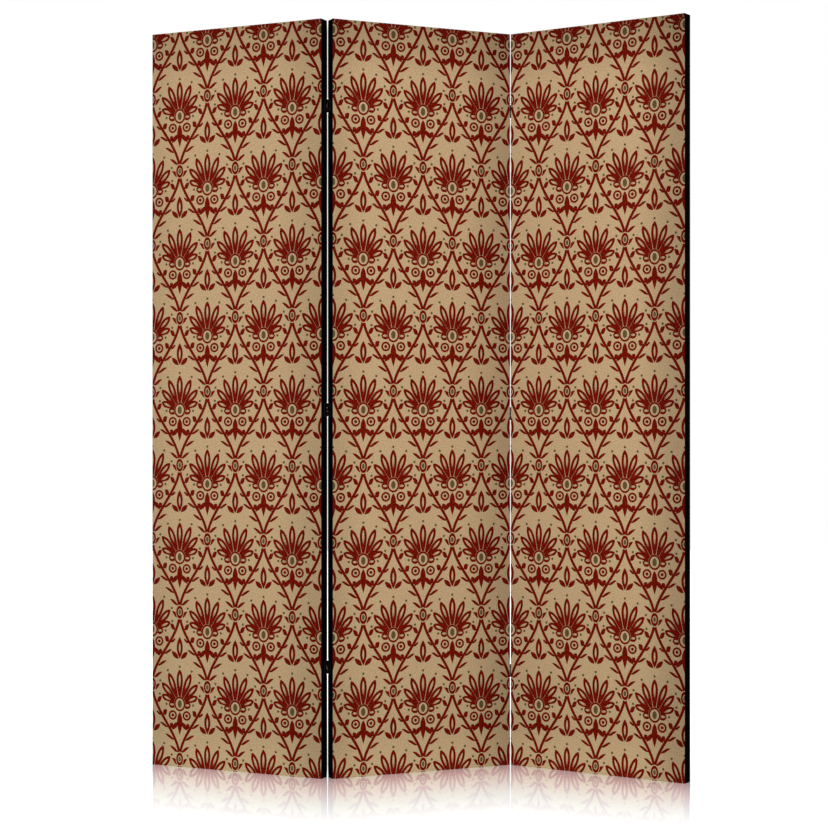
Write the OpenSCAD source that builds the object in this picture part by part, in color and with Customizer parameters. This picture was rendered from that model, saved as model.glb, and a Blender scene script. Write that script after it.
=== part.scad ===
// Three-panel printed folding screen. Each panel is a timber frame with a printed canvas
// stretched over it and a backing cloth behind. The printed faces look towards -Y, and the
// origin is the middle of the standing screen's footprint, on the floor.

/* [Panels] */
// Width of one panel
panel_w = 450; // [350:10:600]
// Height of the panels
panel_h = 1720; // [1500:10:2000]
// Thickness of a panel, from the printed face to the canvas turned over behind
panel_t = 28; // [22:0.5:32]

/* [Standing pose] */
// Turn of the left panel from the screen's run, its hinged edge forward
left_turn = 27; // [0:1:60]
// Turn of the middle panel from the screen's run, its left edge forward
middle_turn = 23; // [0:1:60]
// Turn of the right panel from the screen's run, its free edge forward
right_turn = 35; // [0:1:60]

/* [Timber frame] */
// Width of the stiles
stile_w = 38; // [32:1:48]
// Width of the top, bottom and cross rails
rail_w = 38; // [32:1:48]
// Width of the frame's outer lip, which the canvas lies on
lip_w = 8; // [4:1:12]
// Depth of the bevel that keeps the canvas off the frame's inner edges
bevel_drop = 2.5; // [1:0.5:4]
// Height of the lower cross rail's centre above the floor
lower_cross_rail_rise = 573; // [450:1:700]
// Distance from the top of the panel down to the upper cross rail's centre
upper_cross_rail_drop = 573; // [450:1:700]

/* [Dowels] */
// Diameter of the dowels that join rails to stiles
dowel_d = 6; // [5:0.5:8]
// Length of a dowel, half of it in each piece
dowel_l = 36; // [24:2:40]
// Distance between the two dowels of a joint
dowel_pitch = 18; // [14:1:20]

/* [Canvas and backing] */
// Thickness of the canvas
canvas_t = 0.5; // [0.4:0.1:0.8]
// Width of the canvas turned over onto the back
turnover_w = 30; // [28:1:36]
// Thickness of the backing cloth
backing_t = 0.3; // [0.2:0.1:0.4]
// Distance from the panel's edge to the backing cloth's edge
backing_inset = 18; // [14:1:20]

/* [Staples] */
// Width of a staple's crown
staple_w = 10; // [8:1:12]
// Width of the staple wire
wire_w = 0.9; // [0.7:0.1:1.2]
// Thickness of the staple wire
wire_t = 0.45; // [0.35:0.05:0.5]
// Length of a staple's legs
staple_leg = 6; // [4:0.5:6]
// Distance from the panel's edge to the staples that hold the canvas
canvas_staple_inset = 10; // [8:1:12]
// Distance from the panel's edge to the staples that hold the backing
backing_staple_inset = 24; // [22:1:26]
// Spacing of the staples that hold the canvas
canvas_staple_pitch = 60; // [40:5:90]
// Spacing of the staples that hold the backing
backing_staple_pitch = 105; // [80:5:140]
// Distance from a corner to the first staple
staple_corner_margin = 62; // [60:1:80]

/* [Hinges] */
// Height of a hinge
hinge_h = 30; // [28:1:50]
// Distance from the pin's axis to a leaf's free edge
leaf_reach = 16; // [14:0.5:18]
// Thickness of the leaves
leaf_t = 0.6; // [0.5:0.1:1]
// Radius of the leaves' free corners
leaf_corner_r = 2; // [1:0.5:3]
// Diameter of the hinge pin
pin_d = 1.2; // [1.1:0.1:2.4]
// Height of the pin's peened heads
pin_head_h = 0.5; // [0.3:0.1:0.8]
// Distance that the pin's axis stands out from the face beside it
pin_proud = 0.6; // [0.6:0.1:1.5]
// Height of the fixed leaf's knuckle, in the middle of the barrel
inner_knuckle_h = 10; // [8:0.5:12]
// Distance from the top of the panel down to the left fold's top hinge
left_top_hinge_drop = 194; // [120:1:300]
// Height of the left fold's middle hinge above the floor
left_middle_hinge_rise = 835; // [760:1:960]
// Height of the left fold's bottom hinge above the floor
left_bottom_hinge_rise = 250; // [120:1:300]
// Distance from the top of the panel down to the right fold's top hinge
right_top_hinge_drop = 182; // [120:1:300]
// Height of the right fold's middle hinge above the floor
right_middle_hinge_rise = 827; // [760:1:960]
// Height of the right fold's bottom hinge above the floor
right_bottom_hinge_rise = 222; // [120:1:300]

/* [Hinge screws] */
// Diameter of a screw's shank
screw_d = 2.6; // [2.2:0.1:3]
// Diameter of a screw's countersunk head
screw_head_d = 5; // [4.4:0.1:5.6]
// Length of a screw
screw_l = 16; // [12:1:18]
// Length of a screw's pointed tip
screw_tip = 3; // [2:0.5:4]
// Distance between the two screws of a leaf
screw_pitch = 17; // [15:0.5:20]
// Length of the cross recess in a screw's head
recess_l = 2.6; // [2:0.1:3]
// Width of the cross recess's slots
recess_w = 0.5; // [0.4:0.1:0.7]
// Depth of the cross recess
recess_depth = 0.7; // [0.5:0.1:0.9]

/* [Clearances] */
// Radial clearance between a hinge pin and its knuckles
pin_clearance = 0.05; // [0.02:0.01:0.1]
// Gap between neighbouring knuckles, and from a knuckle to the other leaf
knuckle_gap = 0.2; // [0.15:0.05:0.5]
// Clearance round dowels, screws and staple legs
hole_clearance = 0.05; // [0.02:0.01:0.1]

/* [Hidden] */
$fn = 48;
PANELS = ["left_panel", "middle_panel", "right_panel"];
PANEL_PIECES = [
    "left_stile", "right_stile", "top_rail", "bottom_rail", "upper_cross_rail",
    "lower_cross_rail", "dowels", "printed_canvas", "canvas_staples", "backing_cloth",
    "backing_staples"
];
FOLDS = ["left_fold", "right_fold"];
HINGES = ["top_hinge", "middle_hinge", "bottom_hinge"];
HINGE_PIECES = ["fixed_leaf", "moving_leaf", "pin"];
SCREW_GROUPS = [
    "left_panel_hinge_screws", "middle_panel_left_hinge_screws",
    "middle_panel_right_hinge_screws", "right_panel_hinge_screws"
];

// Overrun of a cut past the face that it opens
cut = 1;

// Half of the gap between two panels' edges, which a hinge's barrel fills
half_gap = pin_d / 2 + pin_clearance + leaf_t;
// Heights of a fold's three hinges, each to the hinge's centre
function hinge_rises(fold) =
    fold == "left_fold"
    ? [panel_h - left_top_hinge_drop, left_middle_hinge_rise, left_bottom_hinge_rise]
    : [panel_h - right_top_hinge_drop, right_middle_hinge_rise, right_bottom_hinge_rise];
screw_out = (half_gap + knuckle_gap + leaf_reach) / 2;
screw_head_h = (screw_head_d - screw_d) / 2;

// The timber frame fills the canvas wrap
frame_w = panel_w - 2 * canvas_t;
frame_h = panel_h - 2 * canvas_t;
frame_t = panel_t - 2 * canvas_t;
rail_l = frame_w - 2 * stile_w;
cross_rail_t = frame_t - bevel_drop;

// Rise of each rail's centre, and the edge of the panel that it lies along
rail_rises = [
    panel_h - canvas_t - rail_w / 2, canvas_t + rail_w / 2,
    panel_h - upper_cross_rail_drop, lower_cross_rail_rise
];

// Where the pins stand in the plan of each panel
back_pin_y = panel_t + pin_proud;
front_pin_y = -pin_proud;
left_pin_on_left = [panel_w + half_gap, back_pin_y];
left_pin_on_middle = [-half_gap, back_pin_y];
right_pin_on_middle = [panel_w + half_gap, front_pin_y];
right_pin_on_right = [-half_gap, front_pin_y];

// Plan of the standing screen, first round the middle panel's corner, then centred
function turned(v, a) = [v.x * cos(a) - v.y * sin(a), v.x * sin(a) + v.y * cos(a)];
function middle_of(values) = (min(values) + max(values)) / 2;
panel_turns = [-left_turn, middle_turn, -right_turn];
corner_places = [
    turned(left_pin_on_middle, middle_turn) - turned(left_pin_on_left, -left_turn),
    [0, 0],
    turned(right_pin_on_middle, middle_turn) - turned(right_pin_on_right, -right_turn)
];
plan_corners = [
    for (p = [0:2]) for (x = [0, panel_w]) for (y = [0, panel_t])
        corner_places[p] + turned([x, y], panel_turns[p])
];
plan_centre = [
    middle_of([for (c = plan_corners) c.x]), middle_of([for (c = plan_corners) c.y])
];

// Evenly spread places along an edge, about one pitch apart
function spread(length, margin, pitch) =
    let (n = max(1, round((length - 2 * margin) / pitch)))
    [for (i = [0:n]) margin + i * (length - 2 * margin) / n];

// Puts what is drawn in a panel's own frame where the panel stands. In that frame X runs
// along the panel, Y from its printed face to its back, and Z up.
module at_panel(p) {
    translate(corner_places[p] - plan_centre) rotate([0, 0, panel_turns[p]]) children();
}

// One staple, its crown along X on the surface Y = 0 and its legs into -Y
module staple() {
    translate([-staple_w / 2, 0, -wire_w / 2]) cube([staple_w, wire_t, wire_w]);
    staple_legs(0, 0);
}

// The legs alone, grown by a clearance and lengthened past the crown's seat for a cut
module staple_legs(grow, past) {
    for (s = [-1, 1])
        translate([
            s * (staple_w - wire_t) / 2 - wire_t / 2 - grow,
            -staple_leg - grow,
            -wire_w / 2 - grow
        ])
            cube([wire_t + 2 * grow, staple_leg + grow + past, wire_w + 2 * grow]);
}

// Repeats a staple along one edge of a panel, on the surface at depth seat
module along_edge(edge, inset, pitch, seat) {
    if (edge == "left" || edge == "right")
        for (z = spread(panel_h, staple_corner_margin, pitch))
            translate([edge == "left" ? inset : panel_w - inset, seat, z])
                rotate([0, 90, 0]) children();
    else
        for (x = spread(panel_w, staple_corner_margin, pitch))
            translate([x, seat, edge == "bottom" ? inset : panel_h - inset]) children();
}

module canvas_staples_on(edge) {
    along_edge(edge, canvas_staple_inset, canvas_staple_pitch, panel_t) children();
}

module backing_staples_on(edge) {
    along_edge(edge, backing_staple_inset, backing_staple_pitch, panel_t + backing_t)
        children();
}

// Slots for all staple legs that go in along one edge
module staple_slots(edge) {
    canvas_staples_on(edge) staple_legs(hole_clearance, cut);
    backing_staples_on(edge) staple_legs(hole_clearance, cut);
}

// One wood screw, its head's face at Z = 0 and its point down
module screw() {
    difference() {
        rotate_extrude() polygon([
            [0, 0], [screw_head_d / 2, 0], [screw_d / 2, -screw_head_h],
            [screw_d / 2, screw_tip - screw_l], [0, -screw_l]
        ]);
        for (a = [0, 90])
            rotate([0, 0, a]) translate([-recess_l / 2, -recess_w / 2, -recess_depth])
                cube([recess_l, recess_w, recess_depth + cut]);
    }
}

// The room that a screw needs, open above its head
module screw_room() {
    rotate_extrude() polygon([
        [0, cut], [screw_head_d / 2 + hole_clearance + cut, cut],
        [screw_d / 2 + hole_clearance, -screw_head_h],
        [screw_d / 2 + hole_clearance, screw_tip - screw_l], [0, -screw_l - hole_clearance]
    ]);
}

// Repeats a screw at a leaf's two holes. The leaf lies as in module leaf.
module leaf_screws() {
    for (s = [-1, 1])
        translate([leaf_t - half_gap, -screw_out, s * screw_pitch / 2])
            rotate([0, 90, 0]) children();
}

// Puts a leaf where it belongs. It's drawn on a panel's right edge with the pin behind the
// panel, and mirrored for a left edge or for a pin in front.
module at_hinge(pin_on_panel, rise) {
    on_left_edge = pin_on_panel.x < 0;
    pin_in_front = pin_on_panel.y < 0;
    translate([pin_on_panel.x, pin_on_panel.y, rise])
        mirror([on_left_edge ? 1 : 0, 0, 0]) mirror([0, pin_in_front ? 1 : 0, 0]) children();
}

// A panel's folds, one for each edge that carries hinges, and a fold's pin on a panel
function folds_on(p) = p == 0 ? ["left_fold"] : p == 1 ? FOLDS : ["right_fold"];
function pin_on(p, fold) =
    fold == "left_fold"
    ? (p == 0 ? left_pin_on_left : left_pin_on_middle)
    : (p == 1 ? right_pin_on_middle : right_pin_on_right);

// Repeats a screw at every hinge of a panel's given folds
module hinge_screw_places(p, folds) {
    for (fold = folds) for (rise = hinge_rises(fold))
        at_hinge(pin_on(p, fold), rise) leaf_screws() children();
}

// Section across a stile or end rail, its outer edge at X = 0 and the canvas side at Y = 0
module lipped_section(width) {
    polygon([
        [0, 0], [lip_w, 0], [width, bevel_drop], [width, frame_t], [0, frame_t]
    ]);
}

// Two dowels' places in a butt joint, along +X from the joint's face
module dowel_pair() {
    for (s = [-1, 1]) translate([0, 0, s * dowel_pitch / 2]) rotate([0, 90, 0]) children();
}

// Every dowel that goes into one stile, drawn from its middle
module dowels_at(edge) {
    joint_x = edge == "left" ? canvas_t + stile_w : panel_w - canvas_t - stile_w;
    for (rise = rail_rises) translate([joint_x, panel_t / 2, rise]) dowel_pair() children();
}

module dowel() {
    cylinder(d = dowel_d, h = dowel_l, center = true);
}

module dowel_room() {
    cylinder(d = dowel_d + 2 * hole_clearance, h = dowel_l + 2 * hole_clearance, center = true);
}

module stile(p, edge) {
    edge_folds = [
        for (fold = folds_on(p)) if ((pin_on(p, fold).x < 0) == (edge == "left")) fold
    ];
    color("burlywood") at_panel(p) difference() {
        translate([edge == "left" ? canvas_t : panel_w - canvas_t, canvas_t, canvas_t])
            mirror([edge == "left" ? 0 : 1, 0, 0])
                linear_extrude(frame_h) lipped_section(stile_w);
        dowels_at(edge) dowel_room();
        staple_slots(edge);
        hinge_screw_places(p, edge_folds) screw_room();
    }
}

// Top or bottom rail, its lip outwards
module end_rail(p, edge) {
    at_bottom = edge == "bottom";
    color("burlywood") at_panel(p) difference() {
        translate([canvas_t + stile_w, canvas_t, at_bottom ? canvas_t : panel_h - canvas_t])
            mirror([0, 0, at_bottom ? 1 : 0]) rotate([0, 90, 0])
                linear_extrude(rail_l) lipped_section(rail_w);
        for (side = ["left", "right"]) dowels_at(side) dowel_room();
        staple_slots(edge);
    }
}

// A cross rail stands back from the canvas by the bevel's depth
module cross_rail(p, rise) {
    color("burlywood") at_panel(p) difference() {
        translate([canvas_t + stile_w, canvas_t + bevel_drop, rise - rail_w / 2])
            cube([rail_l, cross_rail_t, rail_w]);
        for (side = ["left", "right"]) dowels_at(side) dowel_room();
    }
}

module dowels(p) {
    color("tan") at_panel(p) for (side = ["left", "right"]) dowels_at(side) dowel();
}

// The canvas covers the front, wraps round the edges and turns over onto the back
module printed_canvas(p) {
    at_panel(p) difference() {
        union() {
            color("tan") cube([panel_w, canvas_t, panel_h]);
            color("black") difference() {
                translate([0, canvas_t, 0]) cube([panel_w, panel_t - canvas_t, panel_h]);
                translate([canvas_t, 0, canvas_t])
                    cube([frame_w, frame_t + canvas_t, frame_h]);
                translate([turnover_w, 0, turnover_w])
                    cube([
                        panel_w - 2 * turnover_w, panel_t + cut, panel_h - 2 * turnover_w
                    ]);
            }
        }
        for (edge = ["left", "right", "top", "bottom"]) staple_slots(edge);
        hinge_screw_places(p, folds_on(p)) screw_room();
    }
}

module canvas_staples(p) {
    color("silver") at_panel(p)
        for (edge = ["left", "right", "top", "bottom"]) canvas_staples_on(edge) staple();
}

module backing_cloth(p) {
    color("black") at_panel(p) difference() {
        translate([backing_inset, panel_t, backing_inset])
            cube([panel_w - 2 * backing_inset, backing_t, panel_h - 2 * backing_inset]);
        for (edge = ["left", "right", "top", "bottom"])
            backing_staples_on(edge) staple_legs(hole_clearance, cut);
    }
}

module backing_staples(p) {
    color("silver") at_panel(p)
        for (edge = ["left", "right", "top", "bottom"]) backing_staples_on(edge) staple();
}

// A leaf's plate with round free corners, in the plane of its panel's edge
module leaf_plate() {
    straight = leaf_reach - leaf_corner_r;
    translate([-half_gap, 0, 0]) rotate([0, 90, 0]) rotate([0, 0, -90])
        linear_extrude(leaf_t) {
            translate([0, -hinge_h / 2]) square([straight, hinge_h]);
            translate([0, leaf_corner_r - hinge_h / 2])
                square([leaf_reach, hinge_h - 2 * leaf_corner_r]);
            for (s = [-1, 1]) translate([straight, s * (hinge_h / 2 - leaf_corner_r)])
                circle(r = leaf_corner_r);
        }
}

// The stretch of the barrel between two heights, or the notch that leaves room for it
module knuckle(from, to) {
    translate([0, 0, from]) cylinder(r = half_gap, h = to - from);
}

module knuckle_notch(from, to) {
    reach = half_gap + knuckle_gap;
    translate([-reach - cut, -reach, from])
        cube([2 * (reach + cut), 2 * reach + cut, to - from]);
}

// A hinge leaf on a panel's right edge with the pin behind: X = Y = 0 is the pin's axis
module leaf(outer) {
    low = -hinge_h / 2;
    in_low = -inner_knuckle_h / 2;
    gap = knuckle_gap / 2;
    difference() {
        union() {
            difference() {
                leaf_plate();
                if (outer)
                    knuckle_notch(in_low - gap, -in_low + gap);
                else
                    for (s = [0, 1]) mirror([0, 0, s])
                        knuckle_notch(low - cut, in_low + gap);
            }
            if (outer)
                for (s = [0, 1]) mirror([0, 0, s]) knuckle(low, in_low - gap);
            else
                knuckle(in_low + gap, -in_low - gap);
        }
        cylinder(r = pin_d / 2 + pin_clearance, h = hinge_h + 2 * cut, center = true);
        leaf_screws() screw_room();
    }
}

// The panel that a fold's moving leaves and pins go with
function outer_panel(fold) = fold == "left_fold" ? 0 : 2;

// Puts a hinge's piece on a panel
module on_panel(p, fold, rise) {
    at_panel(p) at_hinge(pin_on(p, fold), rise) children();
}

module fixed_leaf(fold, rise) {
    color("#1a1a1a") on_panel(1, fold, rise) leaf(false);
}

module moving_leaf(fold, rise) {
    color("#1a1a1a") on_panel(outer_panel(fold), fold, rise) leaf(true);
}

// The pin, with a peened head against each end of the barrel
module hinge_pin(fold, rise) {
    head_r = (pin_d / 2 + half_gap) / 2;
    end = hinge_h / 2;
    color("#303030") on_panel(outer_panel(fold), fold, rise)
        rotate_extrude() polygon([
            [0, -end - pin_head_h], [head_r - pin_head_h / 2, -end - pin_head_h],
            [head_r, -end - pin_head_h / 2], [head_r, -end], [pin_d / 2, -end],
            [pin_d / 2, end], [head_r, end], [head_r, end + pin_head_h / 2],
            [head_r - pin_head_h / 2, end + pin_head_h], [0, end + pin_head_h]
        ]);
}

module hinge_screws(p, fold) {
    color("#303030") at_panel(p) hinge_screw_places(p, [fold]) screw();
}

for (p = [0:2]) {
    name = PANELS[p];
    stile(p, "left");
    stile(p, "right");
    end_rail(p, "top");
    end_rail(p, "bottom");
    cross_rail(p, rail_rises[2]);
    cross_rail(p, rail_rises[3]);
    dowels(p);
    printed_canvas(p);
    canvas_staples(p);
    backing_cloth(p);
    backing_staples(p);
}

for (fold = FOLDS) for (h = [0:2]) {
    name = str(fold, "_", HINGES[h]);
    rise = hinge_rises(fold)[h];
    fixed_leaf(fold, rise);
    moving_leaf(fold, rise);
    hinge_pin(fold, rise);
}

hinge_screws(0, "left_fold");
hinge_screws(1, "left_fold");
hinge_screws(1, "right_fold");
hinge_screws(2, "right_fold");
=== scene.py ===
import math
import random

import bmesh
import bpy
from bpy.props import FloatProperty, FloatVectorProperty, PointerProperty
from mathutils import Matrix, Vector


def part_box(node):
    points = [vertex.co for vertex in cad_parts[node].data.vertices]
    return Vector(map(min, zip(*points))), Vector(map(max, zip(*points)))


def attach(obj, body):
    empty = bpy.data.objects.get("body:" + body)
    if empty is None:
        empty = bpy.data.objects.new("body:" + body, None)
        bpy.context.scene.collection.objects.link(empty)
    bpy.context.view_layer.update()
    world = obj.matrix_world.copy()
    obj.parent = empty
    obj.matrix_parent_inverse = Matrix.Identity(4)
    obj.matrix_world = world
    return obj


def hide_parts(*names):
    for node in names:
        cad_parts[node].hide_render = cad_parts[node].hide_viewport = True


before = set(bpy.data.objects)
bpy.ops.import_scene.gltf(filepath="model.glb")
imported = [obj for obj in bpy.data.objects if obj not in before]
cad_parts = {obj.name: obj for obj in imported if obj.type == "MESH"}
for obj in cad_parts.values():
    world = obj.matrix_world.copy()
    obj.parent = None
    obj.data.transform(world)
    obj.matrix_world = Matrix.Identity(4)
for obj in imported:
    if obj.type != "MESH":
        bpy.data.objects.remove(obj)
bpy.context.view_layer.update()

bl_info = {
    "name": "Printed folding screen",
    "version": (1, 0, 0),
    "blender": (4, 5, 0),
    "location": "View3D > Sidebar > Screen",
    "description": "Dresses a three-panel folding screen: print, backing, staples and hinges",
    "category": "Object",
}

MM = 0.001
# Places closer than CLOSE are one and the same, and a face whose normal goes past SQUARE_ON
# along an axis is square on to it
CLOSE = 1e-6
SQUARE_ON = 0.99

# Each panel's turn from the screen's run, in degrees. The rest of its place comes from the frame.
PANEL_TURNS = {"left_panel": -27.0, "middle_panel": 23.0, "right_panel": -35.0}
PANELS = list(PANEL_TURNS)
HINGE_LEVELS = ["top_hinge", "middle_hinge", "bottom_hinge"]
# For each fold: the outer panel, whether the leaf on it lies on that panel's left edge, and
# whether the pin stands in front of the printed faces
FOLDS = {
    "left_fold": {"outer": "left_panel", "outer_on_left_edge": False, "pin_in_front": False},
    "right_fold": {"outer": "right_panel", "outer_on_left_edge": True, "pin_in_front": True},
}
UNROLLED = "Unrolled"


# Panel places, read from the frame

def read_panel(panel):
    """The panel's own size and the matrix that carries its own frame to where it stands.

    In that frame X runs along the panel, Y from its printed face to its back, and Z up."""
    turn = Matrix.Rotation(math.radians(PANEL_TURNS[panel]), 4, "Z")
    back = turn.inverted()
    corners = [back @ v.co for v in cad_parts[panel + "_printed_canvas"].data.vertices]
    low = Vector([min(c[i] for c in corners) for i in range(3)])
    high = Vector([max(c[i] for c in corners) for i in range(3)])
    return high - low, turn @ Matrix.Translation(low)


PANEL_SIZE, _ = read_panel("middle_panel")
PLACES = {panel: read_panel(panel)[1] for panel in PANELS}


# Heights of the hinges at each fold, from the top one down
PIN_HEIGHTS = {
    fold: [sum(corner.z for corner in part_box(f"{fold}_{level}_pin")) / 2 for level in HINGE_LEVELS]
    for fold in FOLDS
}


# Settings shown in the sidebar

def length(name, description, default, low, high):
    return FloatProperty(
        name=name, description=description, default=default, min=low, max=high,
        subtype="DISTANCE", unit="LENGTH", precision=5,
    )


def colour(name, description, default):
    return FloatVectorProperty(
        name=name, description=description, default=default, size=3, min=0.0, max=1.0,
        subtype="COLOR",
    )


class ScreenClothSizes(bpy.types.PropertyGroup):
    """Sizes of the stretched canvas and of the backing cloth"""

    panel_w: length("Panel width", "Width of one panel", PANEL_SIZE.x, 0.3, 0.6)
    panel_t: length(
        "Panel thickness", "From the printed face to the back", PANEL_SIZE.y, 0.02, 0.04,
    )
    panel_h: length("Panel height", "Height of the panels", PANEL_SIZE.z, 1.4, 2.1)
    canvas_t: length("Canvas thickness", "Thickness of the canvas", 0.5 * MM, 0.0003, 0.001)
    turnover_w: length("Turnover", "Canvas turned over onto the back", 30 * MM, 0.02, 0.04)
    fold_r: length(
        "Fold radius", "Radius of the canvas over the frame's edges", 0.6 * MM, 0.0004, 0.003,
    )
    canvas_sag: length(
        "Canvas sag", "How far the canvas lies in between the lips", 0.6 * MM, 0.0, 0.002,
    )
    edge_slack: length("Edge slack", "How far it stands out at the folds", 0.7 * MM, 0.0, 0.001)
    lip_w: length("Lip width", "Width of the frame's outer lip", 8 * MM, 0.004, 0.012)
    backing_t: length(
        "Backing thickness", "Thickness of the backing cloth", 0.3 * MM, 0.0002, 0.0005,
    )
    backing_inset: length(
        "Backing inset", "From the panel's edge to the cloth's", 18 * MM, 0.01, 0.03,
    )
    batten_w: length("Batten width", "Width of the timber behind the backing", 38 * MM, 0.03, 0.05)
    lower_rail_rise: length("Lower cross rail", "Height of its centre", 573 * MM, 0.4, 0.7)
    upper_rail_drop: length("Upper cross rail", "Its centre below the top", 573 * MM, 0.4, 0.7)


class ScreenHardwareSizes(bpy.types.PropertyGroup):
    """Sizes of the staples, hinges and screws"""

    staple_w: length("Staple crown", "Width of a staple's crown", 10 * MM, 0.006, 0.014)
    wire_w: length("Wire width", "Width of the staple wire", 0.9 * MM, 0.0005, 0.0015)
    wire_t: length("Wire thickness", "Thickness of the staple wire", 0.45 * MM, 0.0003, 0.001)
    staple_leg: length("Staple leg", "Length of a staple's legs", 6 * MM, 0.004, 0.008)
    canvas_staple_inset: length("Canvas staples in", "From the panel's edge", 10 * MM, 0.006, 0.014)
    backing_staple_inset: length("Backing staples in", "From the panel's edge", 24 * MM, 0.02, 0.03)
    canvas_staple_pitch: length("Canvas staple pitch", "Their spacing", 60 * MM, 0.03, 0.09)
    backing_staple_pitch: length("Backing staple pitch", "Their spacing", 105 * MM, 0.06, 0.15)
    staple_corner_margin: length("Corner margin", "From a corner to a staple", 62 * MM, 0.05, 0.08)
    hinge_h: length("Hinge height", "Height of a hinge", 30 * MM, 0.025, 0.05)
    leaf_reach: length("Leaf reach", "From the pin's axis to the free edge", 16 * MM, 0.012, 0.02)
    leaf_t: length("Leaf thickness", "Thickness of the leaves", 0.6 * MM, 0.0005, 0.0015)
    leaf_corner_r: length("Leaf corner", "Radius of the free corners", 2 * MM, 0.0005, 0.004)
    inner_knuckle_h: length("Inner knuckle", "Height of the middle knuckle", 10 * MM, 0.006, 0.014)
    pin_d: length("Pin diameter", "Diameter of the hinge pin", 1.2 * MM, 0.001, 0.003)
    pin_head_h: length("Pin head", "Height of the peened heads", 0.5 * MM, 0.0003, 0.001)
    pin_clearance: length("Pin clearance", "Room round the pin", 0.05 * MM, 0.00002, 0.0001)
    knuckle_gap: length("Knuckle gap", "Gap between knuckles", 0.2 * MM, 0.0001, 0.0005)
    screw_d: length("Screw shank", "Diameter of the shank", 2.6 * MM, 0.002, 0.003)
    screw_head_d: length("Screw head", "Diameter of the head", 5 * MM, 0.004, 0.006)
    screw_l: length("Screw length", "Length of a screw", 16 * MM, 0.01, 0.02)
    screw_tip: length("Screw tip", "Length of the point", 3 * MM, 0.002, 0.004)
    screw_pitch: length("Screw pitch", "Between a leaf's two screws", 17 * MM, 0.012, 0.022)
    thread_pitch: length("Thread pitch", "From one thread to the next", 1.1 * MM, 0.0006, 0.002)
    recess_l: length("Recess length", "Length of the cross recess", 2.6 * MM, 0.002, 0.003)
    recess_w: length("Recess width", "Width of its slots", 0.5 * MM, 0.0003, 0.0008)
    recess_depth: length("Recess depth", "Depth of the cross recess", 0.7 * MM, 0.0004, 0.001)


class ScreenPrintDesign(bpy.types.PropertyGroup):
    """The repeat and the colours of the printed pattern"""

    repeat_w: length("Repeat width", "Width of one net of bands", 150 * MM, 0.05, 0.4)
    repeat_h: length("Repeat height", "Height of one net of bands", 344 * MM, 0.1, 0.8)
    start: length("Start", "How far into a repeat the print begins at the foot", 326 * MM, 0.0, 0.8)
    thread: length("Thread pitch", "Spacing of the canvas threads", 0.7 * MM, 0.0003, 0.002)
    ground: colour("Ground", "Tan of the printed ground", (0.322, 0.2215, 0.1215))
    ink: colour("Ink", "Dark red of the ornament", (0.096, 0.0042, 0.0016))
    accent: colour("Accent", "Olive of the seeds", (0.072, 0.048, 0.02))
    edge_black: colour("Edge", "Black of the wrapped edges", (0.0012, 0.0012, 0.0013))


class ScreenFinishes(bpy.types.PropertyGroup):
    """The colours of the timber, steel and backing"""

    backing: colour("Backing", "Black of the non-woven cloth", (0.0085, 0.0085, 0.0095))
    pine_light: colour("Pine, early wood", "Pale part of a ring", (0.62, 0.42, 0.22))
    pine_dark: colour("Pine, late wood", "Dark part of a ring", (0.44, 0.235, 0.09))
    beech: colour("Beech", "Dowels", (0.52, 0.33, 0.19))
    wire: colour("Staple wire", "Galvanised steel", (0.56, 0.57, 0.58))
    paint: colour("Hinge paint", "Black of the hinges", (0.0021, 0.0021, 0.0023))
    pin: colour("Pin steel", "Blackened pin", (0.009, 0.009, 0.0095))
    screw: colour("Screw steel", "Blackened screws", (0.03, 0.03, 0.032))


class ScreenStudio(bpy.types.PropertyGroup):
    """The camera, the light and the floor"""

    camera_x: length("Camera X", "Camera's place along the run", -0.1328, -3.0, 3.0)
    camera_y: length("Camera Y", "Camera's place in front of the screen", -4.63409, -9.0, -1.0)
    camera_z: length("Camera height", "Height of the lens above the floor", 0.80826, 0.1, 3.0)
    camera_turn: FloatProperty(
        name="Camera turn", description="Turn of the level camera to the right",
        default=math.radians(1.62274), subtype="ANGLE",
    )
    lens: FloatProperty(
        name="Lens", description="Focal length on a 36 mm frame", default=87.612, min=20, max=200,
    )
    shift_up: FloatProperty(
        name="Shift", description="Upward shift of the lens, as a share of the picture",
        default=0.009088, min=-0.2, max=0.2,
    )
    surround: FloatProperty(
        name="Surround", description="Strength of the white surround", default=1.0, min=0, max=5,
    )
    key_power: FloatProperty(
        name="Key light", description="Power of the large soft light in watts", default=90, min=0,
    )
    fill_power: FloatProperty(
        name="Fill light", description="Power of the fill light in watts", default=45, min=0,
    )
    floor_side: length("Floor", "Side of the floor slab", 16.0, 4.0, 40.0)
    polish_reach: length("Polish", "How far the floor's reflection reaches", 0.98, 0.0, 3.0)


# Small modelling helpers

def rest_all():
    """Leaves edit mode and deselects everything."""
    if bpy.context.mode != "OBJECT":
        bpy.ops.object.mode_set(mode="OBJECT")
    bpy.ops.object.select_all(action="DESELECT")


def take(piece):
    """Makes one piece the only selected and active one."""
    rest_all()
    piece.select_set(True)
    bpy.context.view_layer.objects.active = piece
    return piece


def start_box(name, low, high):
    """A box primitive between two corners, opened in edit mode."""
    rest_all()
    low = Vector(low)
    high = Vector(high)
    bpy.ops.mesh.primitive_cube_add(size=1, location=(low + high) / 2, scale=high - low)
    piece = bpy.context.object
    piece.name = name
    bpy.ops.object.transform_apply(location=True, rotation=True, scale=True)
    bpy.ops.object.mode_set(mode="EDIT")
    return piece


def pick(piece, kind, test):
    """Selects the vertices, edges or faces that pass a test, in edit mode."""
    bpy.ops.mesh.select_mode(type=kind)
    bpy.ops.mesh.select_all(action="DESELECT")
    mesh = bmesh.from_edit_mesh(piece.data)
    mesh.normal_update()
    found = 0
    for part in {"VERT": mesh.verts, "EDGE": mesh.edges, "FACE": mesh.faces}[kind]:
        if test(part):
            part.select_set(True)
            found += 1
    bmesh.update_edit_mesh(piece.data)
    if not found:
        raise RuntimeError(f"{piece.name}: no {kind.lower()} was found to shape")
    return found


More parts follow.
